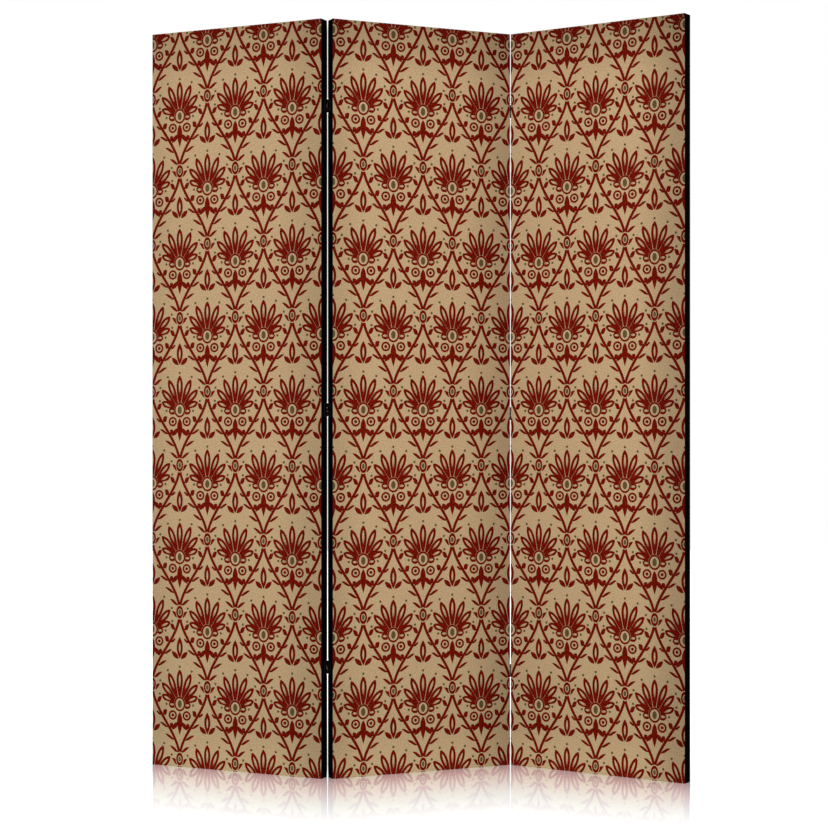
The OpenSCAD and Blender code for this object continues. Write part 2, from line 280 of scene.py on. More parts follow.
def cut_across(axis, places):
    """Bisects the whole piece square to an axis at each place."""
    normal = Vector([1.0 if i == axis else 0.0 for i in range(3)])
    for place in places:
        bpy.ops.mesh.select_all(action="SELECT")
        bpy.ops.mesh.bisect(plane_co=normal * place, plane_no=normal)


def facing(axis, sign):
    """A test for faces whose normal points along an axis."""
    return lambda face: face.normal[axis] * sign > SQUARE_ON


def apply_modifier(piece, kind, **settings):
    """Adds a modifier to a piece, sets it and applies it."""
    take(piece)
    modifier = piece.modifiers.new(kind.title(), kind)
    for name, value in settings.items():
        setattr(modifier, name, value)
    bpy.ops.object.modifier_apply(modifier=modifier.name)


def carve(piece, cutter):
    """Cuts a cutter's shape out of a piece and removes the cutter."""
    apply_modifier(piece, "BOOLEAN", operation="DIFFERENCE", solver="EXACT", object=cutter)
    bpy.data.objects.remove(cutter)


def smooth(piece, degrees=35.0):
    """Shades a piece smooth, and leaves the edges that turn by more degrees sharp."""
    take(piece)
    bpy.ops.object.shade_smooth_by_angle(angle=math.radians(degrees))


def face_outwards(piece):
    """Merges doubles and points every face outwards."""
    take(piece)
    bpy.ops.object.mode_set(mode="EDIT")
    bpy.ops.mesh.select_mode(type="VERT")
    bpy.ops.mesh.select_all(action="SELECT")
    bpy.ops.mesh.remove_doubles(threshold=CLOSE)
    bpy.ops.mesh.normals_make_consistent(inside=False)
    bpy.ops.object.mode_set(mode="OBJECT")


def copy_to(pattern, name, matrices):
    """Copies a pattern to each place and joins the copies into one piece."""
    rest_all()
    copies = []
    for matrix in matrices:
        mesh = pattern.data.copy()
        mesh.transform(matrix)
        if matrix.determinant() < 0:
            mesh.flip_normals()
        copy = bpy.data.objects.new(name, mesh)
        bpy.context.scene.collection.objects.link(copy)
        copy.select_set(True)
        copies.append(copy)
    bpy.context.view_layer.objects.active = copies[0]
    if len(copies) > 1:
        bpy.ops.object.join()
    copies[0].name = name
    return copies[0]


def turned_piece(name, profile, sides):
    """A turned piece round Z: a ring primitive extruded and scaled from ring to ring.

    profile is a list of (radius, height) from one end to the other. An end with no radius
    closes in a point, and any other end is filled."""
    rest_all()
    radius, height = profile[0]
    bpy.ops.mesh.primitive_circle_add(
        vertices=sides, radius=radius, fill_type="NGON", location=(0, 0, height)
    )
    piece = bpy.context.object
    piece.name = name
    bpy.ops.object.transform_apply(location=True, rotation=True, scale=True)
    bpy.ops.object.mode_set(mode="EDIT")
    bpy.ops.mesh.select_all(action="SELECT")
    for next_radius, next_height in profile[1:]:
        step = (0, 0, next_height - height)
        bpy.ops.mesh.extrude_region_move(TRANSFORM_OT_translate={"value": step})
        if next_radius == 0:
            bpy.ops.mesh.merge(type="CENTER")
            break
        share = next_radius / radius
        bpy.ops.transform.resize(
            value=(share, share, 1), center_override=(0, 0, next_height)
        )
        radius, height = next_radius, next_height
    bpy.ops.object.mode_set(mode="OBJECT")
    face_outwards(piece)
    return piece


def finish_piece(piece, body, nodes, material):
    """Gives a piece its material, body and replaced nodes."""
    piece.data.materials.clear()
    piece.data.materials.append(material)
    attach(piece, body)
    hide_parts(*nodes)


def spread(whole, margin, pitch):
    """Evenly spread places along an edge, about one pitch apart."""
    count = max(1, round((whole - 2 * margin) / pitch))
    return [margin + i * (whole - 2 * margin) / count for i in range(count + 1)]


def clamped(share):
    """Keeps a share between 0 and 1."""
    return min(1.0, max(0.0, share))


def ease(value, start, end):
    """0 before start, 1 after end, and a smooth step between."""
    share = clamped((value - start) / (end - start))
    return share * share * (3 - 2 * share)


def cross_rail_heights(sizes):
    """Heights of the lower and the upper cross rail's centres."""
    return sizes.lower_rail_rise, sizes.panel_h - sizes.upper_rail_drop


# Shader maths

class Signal:
    """A value that varies over a surface. Arithmetic on it adds Math nodes."""

    def __init__(self, finish, socket):
        self.finish = finish
        self.socket = socket

    def calc(self, operation, *others):
        return self.finish.maths(operation, self, *others)

    def __add__(self, other):
        return self.calc("ADD", other)

    def __radd__(self, other):
        return self.finish.maths("ADD", other, self)

    def __sub__(self, other):
        return self.calc("SUBTRACT", other)

    def __rsub__(self, other):
        return self.finish.maths("SUBTRACT", other, self)

    def __mul__(self, other):
        return self.calc("MULTIPLY", other)

    def __rmul__(self, other):
        return self.finish.maths("MULTIPLY", other, self)

    def __truediv__(self, other):
        return self.calc("DIVIDE", other)

    def __rtruediv__(self, other):
        return self.finish.maths("DIVIDE", other, self)

    def __pow__(self, other):
        return self.calc("POWER", other)

    def __neg__(self):
        return self.calc("MULTIPLY", -1.0)

    def __abs__(self):
        return self.calc("ABSOLUTE")


# The sockets of a Mix node, which holds a pair for each kind of data
MIX_FACTOR = 0
MIX_VALUES = (2, 3)
MIX_COLOURS = (6, 7)
MIX_VALUE_OUT = 0
MIX_COLOUR_OUT = 2


class Finish:
    """One material and the nodes that it is made of."""

    def __init__(self, name):
        self.material = bpy.data.materials.new(name)
        self.material.use_nodes = True
        self.tree = self.material.node_tree
        self.tree.nodes.clear()

    def node(self, kind, settings=None, inputs=None):
        """Adds a node. Its settings are set first, and then the values or links of its sockets."""
        node = self.tree.nodes.new(kind)
        for name, value in (settings or {}).items():
            setattr(node, name, value)
        for key, value in (inputs or {}).items():
            if isinstance(value, Signal):
                self.tree.links.new(value.socket, node.inputs[key])
            elif isinstance(value, bpy.types.NodeSocket):
                self.tree.links.new(value, node.inputs[key])
            else:
                node.inputs[key].default_value = value
        return node

    def maths(self, operation, *values, clamp=False):
        settings = {"operation": operation, "use_clamp": clamp}
        node = self.node("ShaderNodeMath", settings, dict(enumerate(values)))
        return Signal(self, node.outputs[0])

    def xyz(self, vector):
        parts = self.node("ShaderNodeSeparateXYZ", None, {0: vector})
        return [Signal(self, parts.outputs[i]) for i in range(3)]

    def vector(self, x, y, z):
        return self.node("ShaderNodeCombineXYZ", None, {0: x, 1: y, 2: z}).outputs[0]

    def object_place(self):
        return self.node("ShaderNodeTexCoord").outputs["Object"]

    def along_panel(self, panel):
        """Object coordinates turned to run along a panel: along it, through it and up."""
        turn = -math.radians(PANEL_TURNS[panel])
        return self.xyz(self.mapped(self.object_place(), rotation=(0, 0, turn)))

    def unrolled(self):
        """The piece's own flat coordinates in metres, as a vector."""
        return self.node("ShaderNodeUVMap", {"uv_map": UNROLLED}).outputs[0]

    def mapped(self, vector, location=(0, 0, 0), rotation=(0, 0, 0), scale=(1, 1, 1)):
        inputs = {"Vector": vector, "Location": location, "Rotation": rotation, "Scale": scale}
        return self.node("ShaderNodeMapping", None, inputs).outputs[0]

    def noise(self, vector, scale, detail=2.0, roughness=0.5):
        inputs = {"Vector": vector, "Scale": scale, "Detail": detail, "Roughness": roughness}
        return Signal(self, self.node("ShaderNodeTexNoise", None, inputs).outputs["Fac"])

    def mix(self, factor, first, second):
        """Mixes two values."""
        inputs = {MIX_FACTOR: factor, MIX_VALUES[0]: first, MIX_VALUES[1]: second}
        node = self.node("ShaderNodeMix", {"data_type": "FLOAT"}, inputs)
        return Signal(self, node.outputs[MIX_VALUE_OUT])

    def tint(self, factor, first, second, blend="MIX"):
        """Mixes two colours."""
        inputs = {MIX_FACTOR: factor, MIX_COLOURS[0]: first, MIX_COLOURS[1]: second}
        settings = {"data_type": "RGBA", "blend_type": blend, "clamp_factor": True}
        return self.node("ShaderNodeMix", settings, inputs).outputs[MIX_COLOUR_OUT]

    def shade(self, colour_socket, share):
        """Multiplies a colour by a share that varies."""
        grey = self.vector(share, share, share)
        return self.tint(1.0, colour_socket, grey, "MULTIPLY")

    def between(self, value, start, end, low=0.0, high=1.0):
        """A smooth step of a value from start to end."""
        inputs = {0: value, 1: start, 2: end, 3: low, 4: high}
        settings = {"interpolation_type": "SMOOTHSTEP"}
        return Signal(self, self.node("ShaderNodeMapRange", settings, inputs).outputs[0])

    def bump(self, height, distance, strength=1.0, normal=None):
        inputs = {"Height": height, "Distance": distance, "Strength": strength}
        if normal is not None:
            inputs["Normal"] = normal
        return self.node("ShaderNodeBump", None, inputs).outputs[0]

    def surface(self, **inputs):
        """Closes the material with the shader. Keys are socket names with _ for a space."""
        sockets = {key.replace("_", " "): value for key, value in inputs.items()}
        shader = self.node("ShaderNodeBsdfPrincipled", None, sockets)
        self.node("ShaderNodeOutputMaterial", None, {"Surface": shader.outputs[0]})
        return self.material


def rgba(value):
    return (value[0], value[1], value[2], 1.0)


def larger(first, *others):
    """The largest of some values: two shapes together."""
    for other in others:
        first = first.calc("MAXIMUM", other)
    return first


def smaller(first, *others):
    """The smallest of some values: what two shapes share."""
    for other in others:
        first = first.calc("MINIMUM", other)
    return first


def hypot(x, y):
    return (x * x + y * y).calc("SQRT")


# The printed pattern. Lengths here are in millimetres, and each shape is a signed distance:
# above 0 inside the shape, below 0 outside.

INK_SPREAD = 0.35
INK_SOFTNESS = 0.14

# The fan: the height of its foot from the middle of a net, the angle between its petals, how
# many there are on each side of the upright one, their length and how it falls off sideways
FAN_BASE = -46.0
FAN_STEP = math.radians(22)
FAN_SIDE_PETALS = 4.0
FAN_LENGTH = 84.0
FAN_DROOP = 0.040
PETAL_WIDTH = 9.0
# Each petal's bare heart and its vein: where they start and how long they are, as shares of
# the petal, and their widths. Then the pearls and how far past the petals they sit.
HEART_START = 0.46
HEART_SHARE = 0.42
HEART_WIDTH = 2.9
VEIN_SHARE = 0.3
VEIN_WIDTH = 0.8
PEARL_R = 2.9
PEARL_OUT = 6.0

# The bands, and the leaves along them, which are longest at the widest place of a net.
# NO_LEAF stands where they end, and LEAST keeps their length above 0.
BAND_HALF_WIDTH = 3.4
BAND_LEAVES = 12
BAND_LEAF_START = 2.6
BAND_LEAF_LENGTH = 19.0
BAND_LEAF_WIDTH = 5.6
BAND_LEAF_LEAN = 0.75
BAND_LEAF_SPAN = 240
BAND_LEAF_END = 116.0
NO_LEAF = -9.0
LEAST = 0.0001

# The ring at the fan's foot, with its seed and the bare ground round them
ROUND_RISE = 3
ROUND_SQUASH = 0.85
ROUND_CLEAR_R = 15.2
ROUND_RING_R = 12.9
ROUND_RING_HALF_WIDTH = 2.0
ROUND_SEED_R = 5.6
ROUND_SEED_SQUASH = 0.62

# The volutes beside the fan's foot: how far out and down, their ring and their eye
VOLUTE_OUT = 19
VOLUTE_DOWN = 70
VOLUTE_RING_R = 9
VOLUTE_RING_HALF_WIDTH = 2.3
VOLUTE_EYE_R = 3.8

# Leaves: the place of the foot, degrees from straight up, length, width, and how much
# the foot and the tip draw in
STEM_LEAVES = [((0, -62), 180, 56, 7.4, 0.8, 1.2), ((3, -84), 138, 28, 5.6)]
BUD = ((0, 62), 0, 52, 8.6, 1.0, 0.9)
BUD_HOLLOW = ((0, 75), 0, 26, 2.6)
BUD_LEAF = ((3, 62), 46, 26, 5.8)

# The clasps where the bands meet, each with its seed and bare ground
CLASP_SQUASH = 0.62
CLASP_CLEAR_R = 10.6
CLASP_RING_R = 7.2
CLASP_RING_HALF_WIDTH = 2.2
CLASP_SEED_R = 3.4
CLASP_SEED_SQUASH = 0.55


def leaf_shape(share, across, width, base_power, tip_power):
    """A leaf from share 0 at its base to 1 at its tip, with its line at across 0."""
    top = base_power / (base_power + tip_power)
    peak = top ** base_power * (1 - top) ** tip_power
    inside = share.finish.maths("ADD", share, 0.0, clamp=True)
    half = inside ** base_power * (1 - inside) ** tip_power * (width / peak)
    return half - abs(across) - INK_SPREAD


def leaf_at(x, z, place, degrees, length_mm, width, base_power=1.0, tip_power=1.0):
    """A leaf that starts at a place and points at an angle from straight up."""
    side = math.sin(math.radians(degrees))
    up = math.cos(math.radians(degrees))
    dx = x - place[0]
    dz = z - place[1]
    share = (dx * side + dz * up) / length_mm
    across = dx * up - dz * side
    return leaf_shape(share, across, width, base_power, tip_power)


def fan_shape(x, z):
    """Petals of a fan, each with a bare heart and a vein, and the pearls at their tips."""
    rise = z - FAN_BASE
    reach = hypot(x, rise)
    angle = x.calc("ARCTAN2", rise)
    petal = smaller((angle / FAN_STEP).calc("ROUND"), FAN_SIDE_PETALS)
    turn = angle - petal * FAN_STEP
    petal_length = FAN_LENGTH * (1 - FAN_DROOP * petal * petal)
    forward = reach * turn.calc("COSINE")
    across = reach * turn.calc("SINE")
    share = forward / petal_length
    outline = leaf_shape(share, across, PETAL_WIDTH, 1.5, 0.7)
    heart = leaf_shape((share - HEART_START) / HEART_SHARE, across, HEART_WIDTH, 1.1, 0.8)
    vein = leaf_shape((share - HEART_START) / VEIN_SHARE, across, VEIN_WIDTH, 0.5, 1.0)
    petals = larger(smaller(outline, -heart), vein)
    pearls = PEARL_R - hypot(forward - petal_length - PEARL_OUT, across)
    return petals, pearls


def ornament(finish, u, v, width, height):
    """The red and the olive of the pattern at (u, v) mm, in a net of half-dropped bands."""
    swing = width / 4
    wave = 2 * math.pi / height
    xa = ((u / width).calc("FRACT") - 0.5) * width
    za = ((v / height).calc("FRACT") - 0.5) * height
    xb = ((u / width + 0.5).calc("FRACT") - 0.5) * width
    zb = ((v / height + 0.5).calc("FRACT") - 0.5) * height
    edge = (za * wave).calc("COSINE") * swing + swing
    slope = (za * wave).calc("SINE") * (swing * wave)
    off_edge = (abs(xa) - edge) / (slope * slope + 1).calc("SQRT")
    in_second = off_edge.calc("GREATER_THAN", 0.0)
    x = abs(finish.mix(in_second, xa, xb))
    z = finish.mix(in_second, za, zb)
    off_band = abs(off_edge)

    # Bands, and the leaves that grow from them
    red = BAND_HALF_WIDTH - off_band
    pitch = height / BAND_LEAVES
    swell = larger((z * (math.pi / BAND_LEAF_SPAN)).calc("COSINE"), LEAST).calc("SQRT")
    reach = swell * BAND_LEAF_LENGTH
    along = (((z - off_band * BAND_LEAF_LEAN) / pitch).calc("FRACT") - 0.5) * pitch
    leaf = leaf_shape((off_band - BAND_LEAF_START) / reach, along, BAND_LEAF_WIDTH, 0.9, 1.1)
    near = abs(z).calc("LESS_THAN", BAND_LEAF_END)
    red = larger(red, finish.mix(near, NO_LEAF, leaf))

    # The fan and the ring at its foot
    petals, pearls = fan_shape(x, z)
    red = larger(red, petals)
    ring = hypot(x, (z - FAN_BASE - ROUND_RISE) * ROUND_SQUASH)
    in_ring = ring.calc("LESS_THAN", ROUND_CLEAR_R)
    red = finish.mix(in_ring, red, ROUND_RING_HALF_WIDTH - abs(ring - ROUND_RING_R))
    seed = ROUND_SEED_R - hypot(x, (z - FAN_BASE - ROUND_RISE) * ROUND_SEED_SQUASH)

    # Volutes and leaves under the fan
    eye = hypot(x - VOLUTE_OUT, z + VOLUTE_DOWN)
    red = larger(
        red, VOLUTE_RING_HALF_WIDTH - abs(eye - VOLUTE_RING_R), VOLUTE_EYE_R - eye,
        *[leaf_at(x, z, *facts) for facts in STEM_LEAVES],
    )

    # A hollow bud over the fan, between two leaves
    bud = smaller(leaf_at(x, z, *BUD), -leaf_at(x, z, *BUD_HOLLOW))
    red = larger(red, bud, leaf_at(x, z, *BUD_LEAF))

    # A clasp wherever two bands meet
    for across, up in ((xa, zb), (xb, za)):
        oval = hypot(across, up * CLASP_SQUASH)
        in_clasp = oval.calc("LESS_THAN", CLASP_CLEAR_R)
        red = finish.mix(in_clasp, red, CLASP_RING_HALF_WIDTH - abs(oval - CLASP_RING_R))
        seed = larger(seed, CLASP_SEED_R - hypot(across, up * CLASP_SEED_SQUASH))
    return red, larger(seed, pearls)


# The weave: how far the threads wander, in threads, and the height of a thread's round
# and of its way over and under the others
THREAD_DRIFT = 0.9
THREAD_ROUNDNESS = 0.55
THREAD_CRIMP = 0.4


def plain_weave(finish, vector, pitch):
    """The height of a plain weave, from 0 to about 1, with slightly uneven threads."""
    drift = finish.noise(vector, 9.0, 2.0) * THREAD_DRIFT
    u, v, _ = finish.xyz(vector)
    warp = u / pitch + drift
    weft = v / pitch - drift
    warp_side = warp.calc("FRACT") * 2 - 1
    weft_side = weft.calc("FRACT") * 2 - 1
    warp_over = ((weft - 0.5 + warp.calc("FLOOR")) * math.pi).calc("COSINE")
    weft_over = ((warp + 0.5 + weft.calc("FLOOR")) * math.pi).calc("COSINE")
    warp_height = (1 - warp_side * warp_side) * THREAD_ROUNDNESS + warp_over * THREAD_CRIMP
    weft_height = (1 - weft_side * weft_side) * THREAD_ROUNDNESS + weft_over * THREAD_CRIMP
    return larger(warp_height, weft_height)


# Painted light and shade on each panel's print: its gain, a painted brightening that evens out the
# light between the panels, and how much painted shade darkens it at the left, right and top
PRINT_PAINTED_LIGHT_AND_SHADE = {
    "left_panel": (1.0, 0.12, 0.22, 0.23),
    "middle_panel": (1.05, 0.17, 0.27, 0.31),
    "right_panel": (1.09, 0.03, 0.33, 0.30),
}
# How much paler the print is painted at the foot, as painted light against the shade near the floor,
# and how far each of these reaches in from the edges
FOOT_PAINTED_LIGHT = 1.22
FOOT_REACH = 0.11
LEFT_REACH = 0.085
RIGHT_REACH = 0.135
TOP_REACH = 0.14
# Strength of the cloth's grain on the bare ground and on the red ink
GROUND_GRAIN = 0.90
INK_GRAIN = 3.6


def canvas_finish(design, sizes, panel):
    """Printed cotton canvas: the pattern in front, black on the wrapped edges."""
    finish = Finish(f"printed_canvas_{panel}")
    flat = finish.unrolled()
    u, v, _ = finish.xyz(flat)
    red, olive = ornament(
        finish, u / MM, (v + design.start) / MM, design.repeat_w / MM, design.repeat_h / MM
    )
    place = finish.object_place()

    # Ink soaks a little unevenly into the threads
    ragged = (finish.noise(flat, 1400.0, 2.0) - 0.5) * 0.5
    red_ink = finish.between(red + ragged, -INK_SOFTNESS, INK_SOFTNESS)
    olive_ink = finish.between(olive + ragged, -INK_SOFTNESS, INK_SOFTNESS)
    print_colour = finish.tint(red_ink, rgba(design.ground), rgba(design.ink))
    print_colour = finish.tint(olive_ink, print_colour, rgba(design.accent))

    # Fine grain of the cloth, and painted shade that darkens the print towards the panel's edges,
    # with painted light at its foot
    speckle = finish.noise(flat, 300.0, 2.0, 0.6) - 0.5
    grain = speckle * finish.mix(red_ink, GROUND_GRAIN, INK_GRAIN)
    grain = grain + finish.noise(place, 5.0, 3.0) * 0.07
    width = sizes.panel_w
    height = sizes.panel_h
    panel_painted_gain, left, right, top = PRINT_PAINTED_LIGHT_AND_SHADE[panel]
    foot_painted_light = finish.between(v, 0.0, FOOT_REACH, FOOT_PAINTED_LIGHT, 1.0)
    left_painted_shade = finish.between(u, 0.0, LEFT_REACH, 1 - left, 1.0)
    right_painted_shade = finish.between(u, width - RIGHT_REACH, width, 1.0, 1 - right)
    top_painted_shade = finish.between(v, height - TOP_REACH, height, 1.0, 1 - top)
    # tone is the print's painted light and shade: edges darkened, foot brightened, each panel's own
    # gain
    tone = left_painted_shade * right_painted_shade * top_painted_shade * foot_painted_light * panel_painted_gain
    weave = plain_weave(finish, flat, design.thread)
    # The weave also darkens the colour where its threads lie low: painted shade in the hollows of
    # the cloth
    print_colour = finish.shade(print_colour, tone * (grain + 0.965) * (weave * 0.08 + 0.95))

    # The print ends where the canvas folds over the frame's edge
    turn = sizes.fold_r * 0.4
    inside = smaller(u + turn, width + turn - u, v + turn, height + turn - v)
    front = finish.between(inside + ragged * (0.4 * MM), 0.0, 0.3 * MM)
    edge_colour = finish.shade(rgba(design.edge_black), speckle * 0.3 + 1.05)
    colour_out = finish.tint(front, edge_colour, print_colour)
    rough = finish.mix(front, 0.87, 0.71) + speckle * 0.1
    normal = finish.bump(weave, 0.12 * MM, 0.55)
    return finish.surface(
        Base_Color=colour_out, Roughness=rough, Normal=normal, Specular_IOR_Level=0.0,
    )


def backing_finish(finishes, sizes):
    """Black non-woven cloth: pressed dots in a diamond net, with loose fibres between.

    It is paler over the timber and painted darker over the sunken bays, darkest in their middle:
    painted shade of the bays."""
    finish = Finish("backing_cloth")
    flat = finish.unrolled()
    turned = finish.mapped(flat, rotation=(0, 0, math.radians(45)))
    u, v, _ = finish.xyz(turned)
    dot_pitch = 1.6 * MM
    across = (u / dot_pitch).calc("FRACT") - 0.5
    along = (v / dot_pitch).calc("FRACT") - 0.5
    dot = finish.between(hypot(across, along), 0.16, 0.30)
    fibres = finish.noise(finish.mapped(flat, scale=(1.0, 0.35, 1.0)), 2600.0, 4.0, 0.75)
    cloudy = finish.noise(flat, 60.0, 3.0, 0.6)
    height = dot * 0.7 + fibres * 0.6
    share = cloudy * 0.7 + fibres * 0.8 + dot * 0.3
    x, z, _ = finish.xyz(flat)
    off_timber = smaller(x, sizes.panel_w - x, z, sizes.panel_h - z) - sizes.batten_w
    for rise in cross_rail_heights(sizes):
        off_timber = smaller(off_timber, abs(z - rise) - sizes.batten_w / 2)
    # Painted shade: the cloth is darkened off the timber and further into each bay, where it lies
    # sunken
    bay_painted_shade = finish.between(off_timber, -0.002, 0.010, 1.0, 0.62)
    deep = finish.between(off_timber, 0.0, 0.11, 1.0, 0.80)
    return finish.surface(
        Base_Color=finish.shade(rgba(finishes.backing), (share + 0.1) * bay_painted_shade * deep),
        Roughness=0.60 + cloudy * 0.15,
        Normal=finish.bump(height, 0.16 * MM, 0.7),
        Specular_IOR_Level=0.30,
    )


# Growth rings of the pine: their width, and how far beside and behind a batten the pith lay
RING_W = 3.4 * MM
PITH_BESIDE = 0.031
PITH_BEHIND = 0.12


def pine_finish(finishes, panel, upright):
    """Planed pine with its growth rings and grain along the batten."""
    finish = Finish(f"pine_{panel}_{'upright' if upright else 'level'}")
    x, y, z = finish.along_panel(panel)
    along, across = (z, x) if upright else (x, z)
    grain_space = finish.vector(across, y, along * 0.06)
    sway = finish.noise(grain_space, 14.0, 2.0) * 0.018
    from_pith = hypot(across + sway + PITH_BESIDE, y - sway * 0.7 + PITH_BEHIND)
    rings = from_pith / RING_W + finish.noise(grain_space, 6.0, 2.0) * 2.0
    ring = rings.calc("FRACT")
    late = finish.between(ring, 0.45, 0.92) * (1 - finish.between(ring, 0.93, 1.0))
    streaks = finish.noise(finish.vector(across, y, along * 0.02), 900.0, 3.0, 0.7)
    base = finish.tint(late * 0.75, rgba(finishes.pine_light), rgba(finishes.pine_dark))
    tone = streaks * 0.30 + 0.83
    height = late * 0.5 + streaks * 0.7
    return finish.surface(
        Base_Color=finish.shade(base, tone), Roughness=0.50 + streaks * 0.25,
        Normal=finish.bump(height, 0.15 * MM, 0.5), Specular_IOR_Level=0.35,
    )


def beech_finish(finishes, panel):
    """Turned beech dowels with short dark flecks along the grain."""
    finish = Finish(f"beech_{panel}")
    x, y, z = finish.along_panel(panel)
    fine = finish.noise(finish.vector(x * 0.05, y, z), 1500.0, 2.0, 0.6)
    fleck = finish.noise(finish.vector(x * 0.18, y, z), 1900.0, 1.0)
    fleck = finish.between(fleck, 0.60, 0.72)
    base = finish.shade(rgba(finishes.beech), 0.85 + fine * 0.3 - fleck * 0.28)
    return finish.surface(
        Base_Color=base, Roughness=0.45 + fine * 0.2,
        Normal=finish.bump(fine - fleck * 0.4, 0.1 * MM, 0.5), Specular_IOR_Level=0.35,
    )


def wire_finish(finishes):
    """Galvanised staple wire with a clouded zinc skin."""
    finish = Finish("staple_steel")
    place = finish.object_place()
    cloud = finish.noise(place, 700.0, 3.0, 0.6)
    drawn = finish.noise(finish.mapped(place, scale=(1, 1, 0.1)), 5000.0, 2.0)
    return finish.surface(
        Base_Color=finish.shade(rgba(finishes.wire), 0.78 + cloud * 0.34),
        Metallic=1.0, Roughness=0.26 + cloud * 0.24,
        Normal=finish.bump(drawn, 0.03 * MM, 0.5),
    )


# What shows where the paint is rubbed and where the steel has been handled
RUBBED_PAINT = (0.020, 0.020, 0.021, 1.0)
HANDLED_STEEL = (0.10, 0.10, 0.104, 1.0)


def painted_finish(finishes):
    """Black paint on pressed steel: a faint orange peel and rubbed high spots."""
    finish = Finish("hinge_steel")
    place = finish.object_place()
    peel = finish.noise(place, 1500.0, 2.0, 0.5)
    rubbed = finish.between(finish.noise(place, 520.0, 4.0, 0.7), 0.66, 0.74)
    colour_out = finish.tint(rubbed * 0.5, rgba(finishes.paint), RUBBED_PAINT)
    return finish.surface(
        Base_Color=colour_out, Metallic=rubbed * 0.5, Roughness=0.56 - rubbed * 0.16 + peel * 0.1,
        Normal=finish.bump(peel, 0.04 * MM, 0.6), Specular_IOR_Level=0.10,
    )


def dark_metal_finish(name, base, roughness):
    """Blackened steel, brighter where it has been handled."""
    finish = Finish(name)
    place = finish.object_place()
    cloud = finish.noise(place, 900.0, 3.0, 0.6)
    bright = finish.between(cloud, 0.56, 0.70)
    colour_out = finish.tint(bright * 0.4, rgba(base), HANDLED_STEEL)
    return finish.surface(
        Base_Color=colour_out, Metallic=0.9, Roughness=roughness + cloud * 0.2,
        Normal=finish.bump(cloud, 0.03 * MM, 0.5),
    )


FLOOR_GREY = (0.86, 0.86, 0.86, 1)
# The floor's own even light far from the print, the warm light painted at its foot in front of the
# print as a painted reflection of the print, and the tints of its two mirrors
PLAIN_GLOW = (0.5, 0.5, 0.5, 1)
PAINTED_PRINT_REFLECTION = (0.95, 0.5, 0.5, 1)
PLAIN_MIRROR = (1, 1, 1, 1)
PRINT_MIRROR = (0.68, 1, 1, 1)


def floor_finish(studio, sizes):
    """Pale studio floor, polished close to the screen's foot."""
    finish = Finish("studio_floor")
    place = finish.object_place()
    nearest = None
    depth = None
    for panel in PANELS:
        own = PLACES[panel].inverted()
        location, turn, _ = own.decompose()
        x, y, _ = finish.xyz(
            finish.mapped(place, location=location, rotation=turn.to_euler())
        )
        off_x = larger(abs(x - sizes.panel_w / 2) - sizes.panel_w / 2, 0.0)
        off_y = larger(abs(y - sizes.panel_t / 2) - sizes.panel_t / 2, 0.0)
        off = hypot(off_x, off_y)
        if nearest is None:
            nearest, depth = off, y
        else:
            depth = finish.mix(off.calc("LESS_THAN", nearest), depth, y)
            nearest = smaller(nearest, off)
    fade = finish.maths("SUBTRACT", 1.0, nearest / studio.polish_reach, clamp=True)
    mirror_share = fade ** 1.40 * 0.80

    # In front of the print the foot glows warm: a painted reflection of the print. The mirror there
    # has a tint of its own
    in_front = finish.between(depth, 0.0, sizes.panel_t, 1.0, 0.0)
    # Where the floor is most polished in front of the print, its glow is painted warm as a painted
    # reflection of the print
    painted_reflection_share = finish.between(mirror_share, 0.4, 0.8) * in_front
    glow_and_painted_reflection = finish.tint(painted_reflection_share, PLAIN_GLOW, PAINTED_PRINT_REFLECTION)
    matt = finish.node("ShaderNodeBsdfPrincipled", None, {
        "Base Color": FLOOR_GREY, "Roughness": 0.9, "Specular IOR Level": 0.0,
        "Emission Color": glow_and_painted_reflection, "Emission Strength": 1.1,
    })
    mirrors = [
        finish.node("ShaderNodeBsdfGlossy", None, {"Color": tint, "Roughness": 0.03}).outputs[0]
        for tint in (PLAIN_MIRROR, PRINT_MIRROR)
    ]
    mirror = finish.node("ShaderNodeMixShader", None, {0: in_front, 1: mirrors[0], 2: mirrors[1]})
    mixed = finish.node("ShaderNodeMixShader", None, {
        0: mirror_share, 1: matt.outputs[0], 2: mirror.outputs[0],
    })
    finish.node("ShaderNodeOutputMaterial", None, {"Surface": mixed.outputs[0]})
    return finish.material


# The stretched canvas

def canvas_cuts(whole, edges, step):
    """Cut places along a side: close to both ends as listed, and about a step apart between."""
    last = edges[-1]
    count = max(1, round((whole - 2 * last) / step))
    middle = [last + i * (whole - 2 * last) / count for i in range(1, count)]
    return edges + middle + [whole - e for e in reversed(edges)]


# How far from the edge the sag is full, and the creases that run in from the corners: what
# sets their pitch, how far they reach, how deep they are and how much they stir the sag
SAG_REACH = 0.11
CREASE_PITCH = 17 * MM
CREASE_REACH = 60 * MM
CREASE_DEPTH = 0.06 * MM
CREASE_IN_SAG = 0.12


def canvas_dip(x, z, sizes):
    """How far the stretched canvas lies in at a place of its printed face."""
    side = min(x, sizes.panel_w - x)
    end = min(z, sizes.panel_h - z)
    edge = min(side, end)
    drum = ease(edge, sizes.lip_w, SAG_REACH)
    crease = math.sin((side - end) / CREASE_PITCH) * math.exp(-(side + end) / CREASE_REACH)
    sag = sizes.canvas_sag * drum * (1 + CREASE_IN_SAG * crease)
    return sag + CREASE_DEPTH * crease * ease(edge, 4 * MM, 20 * MM)


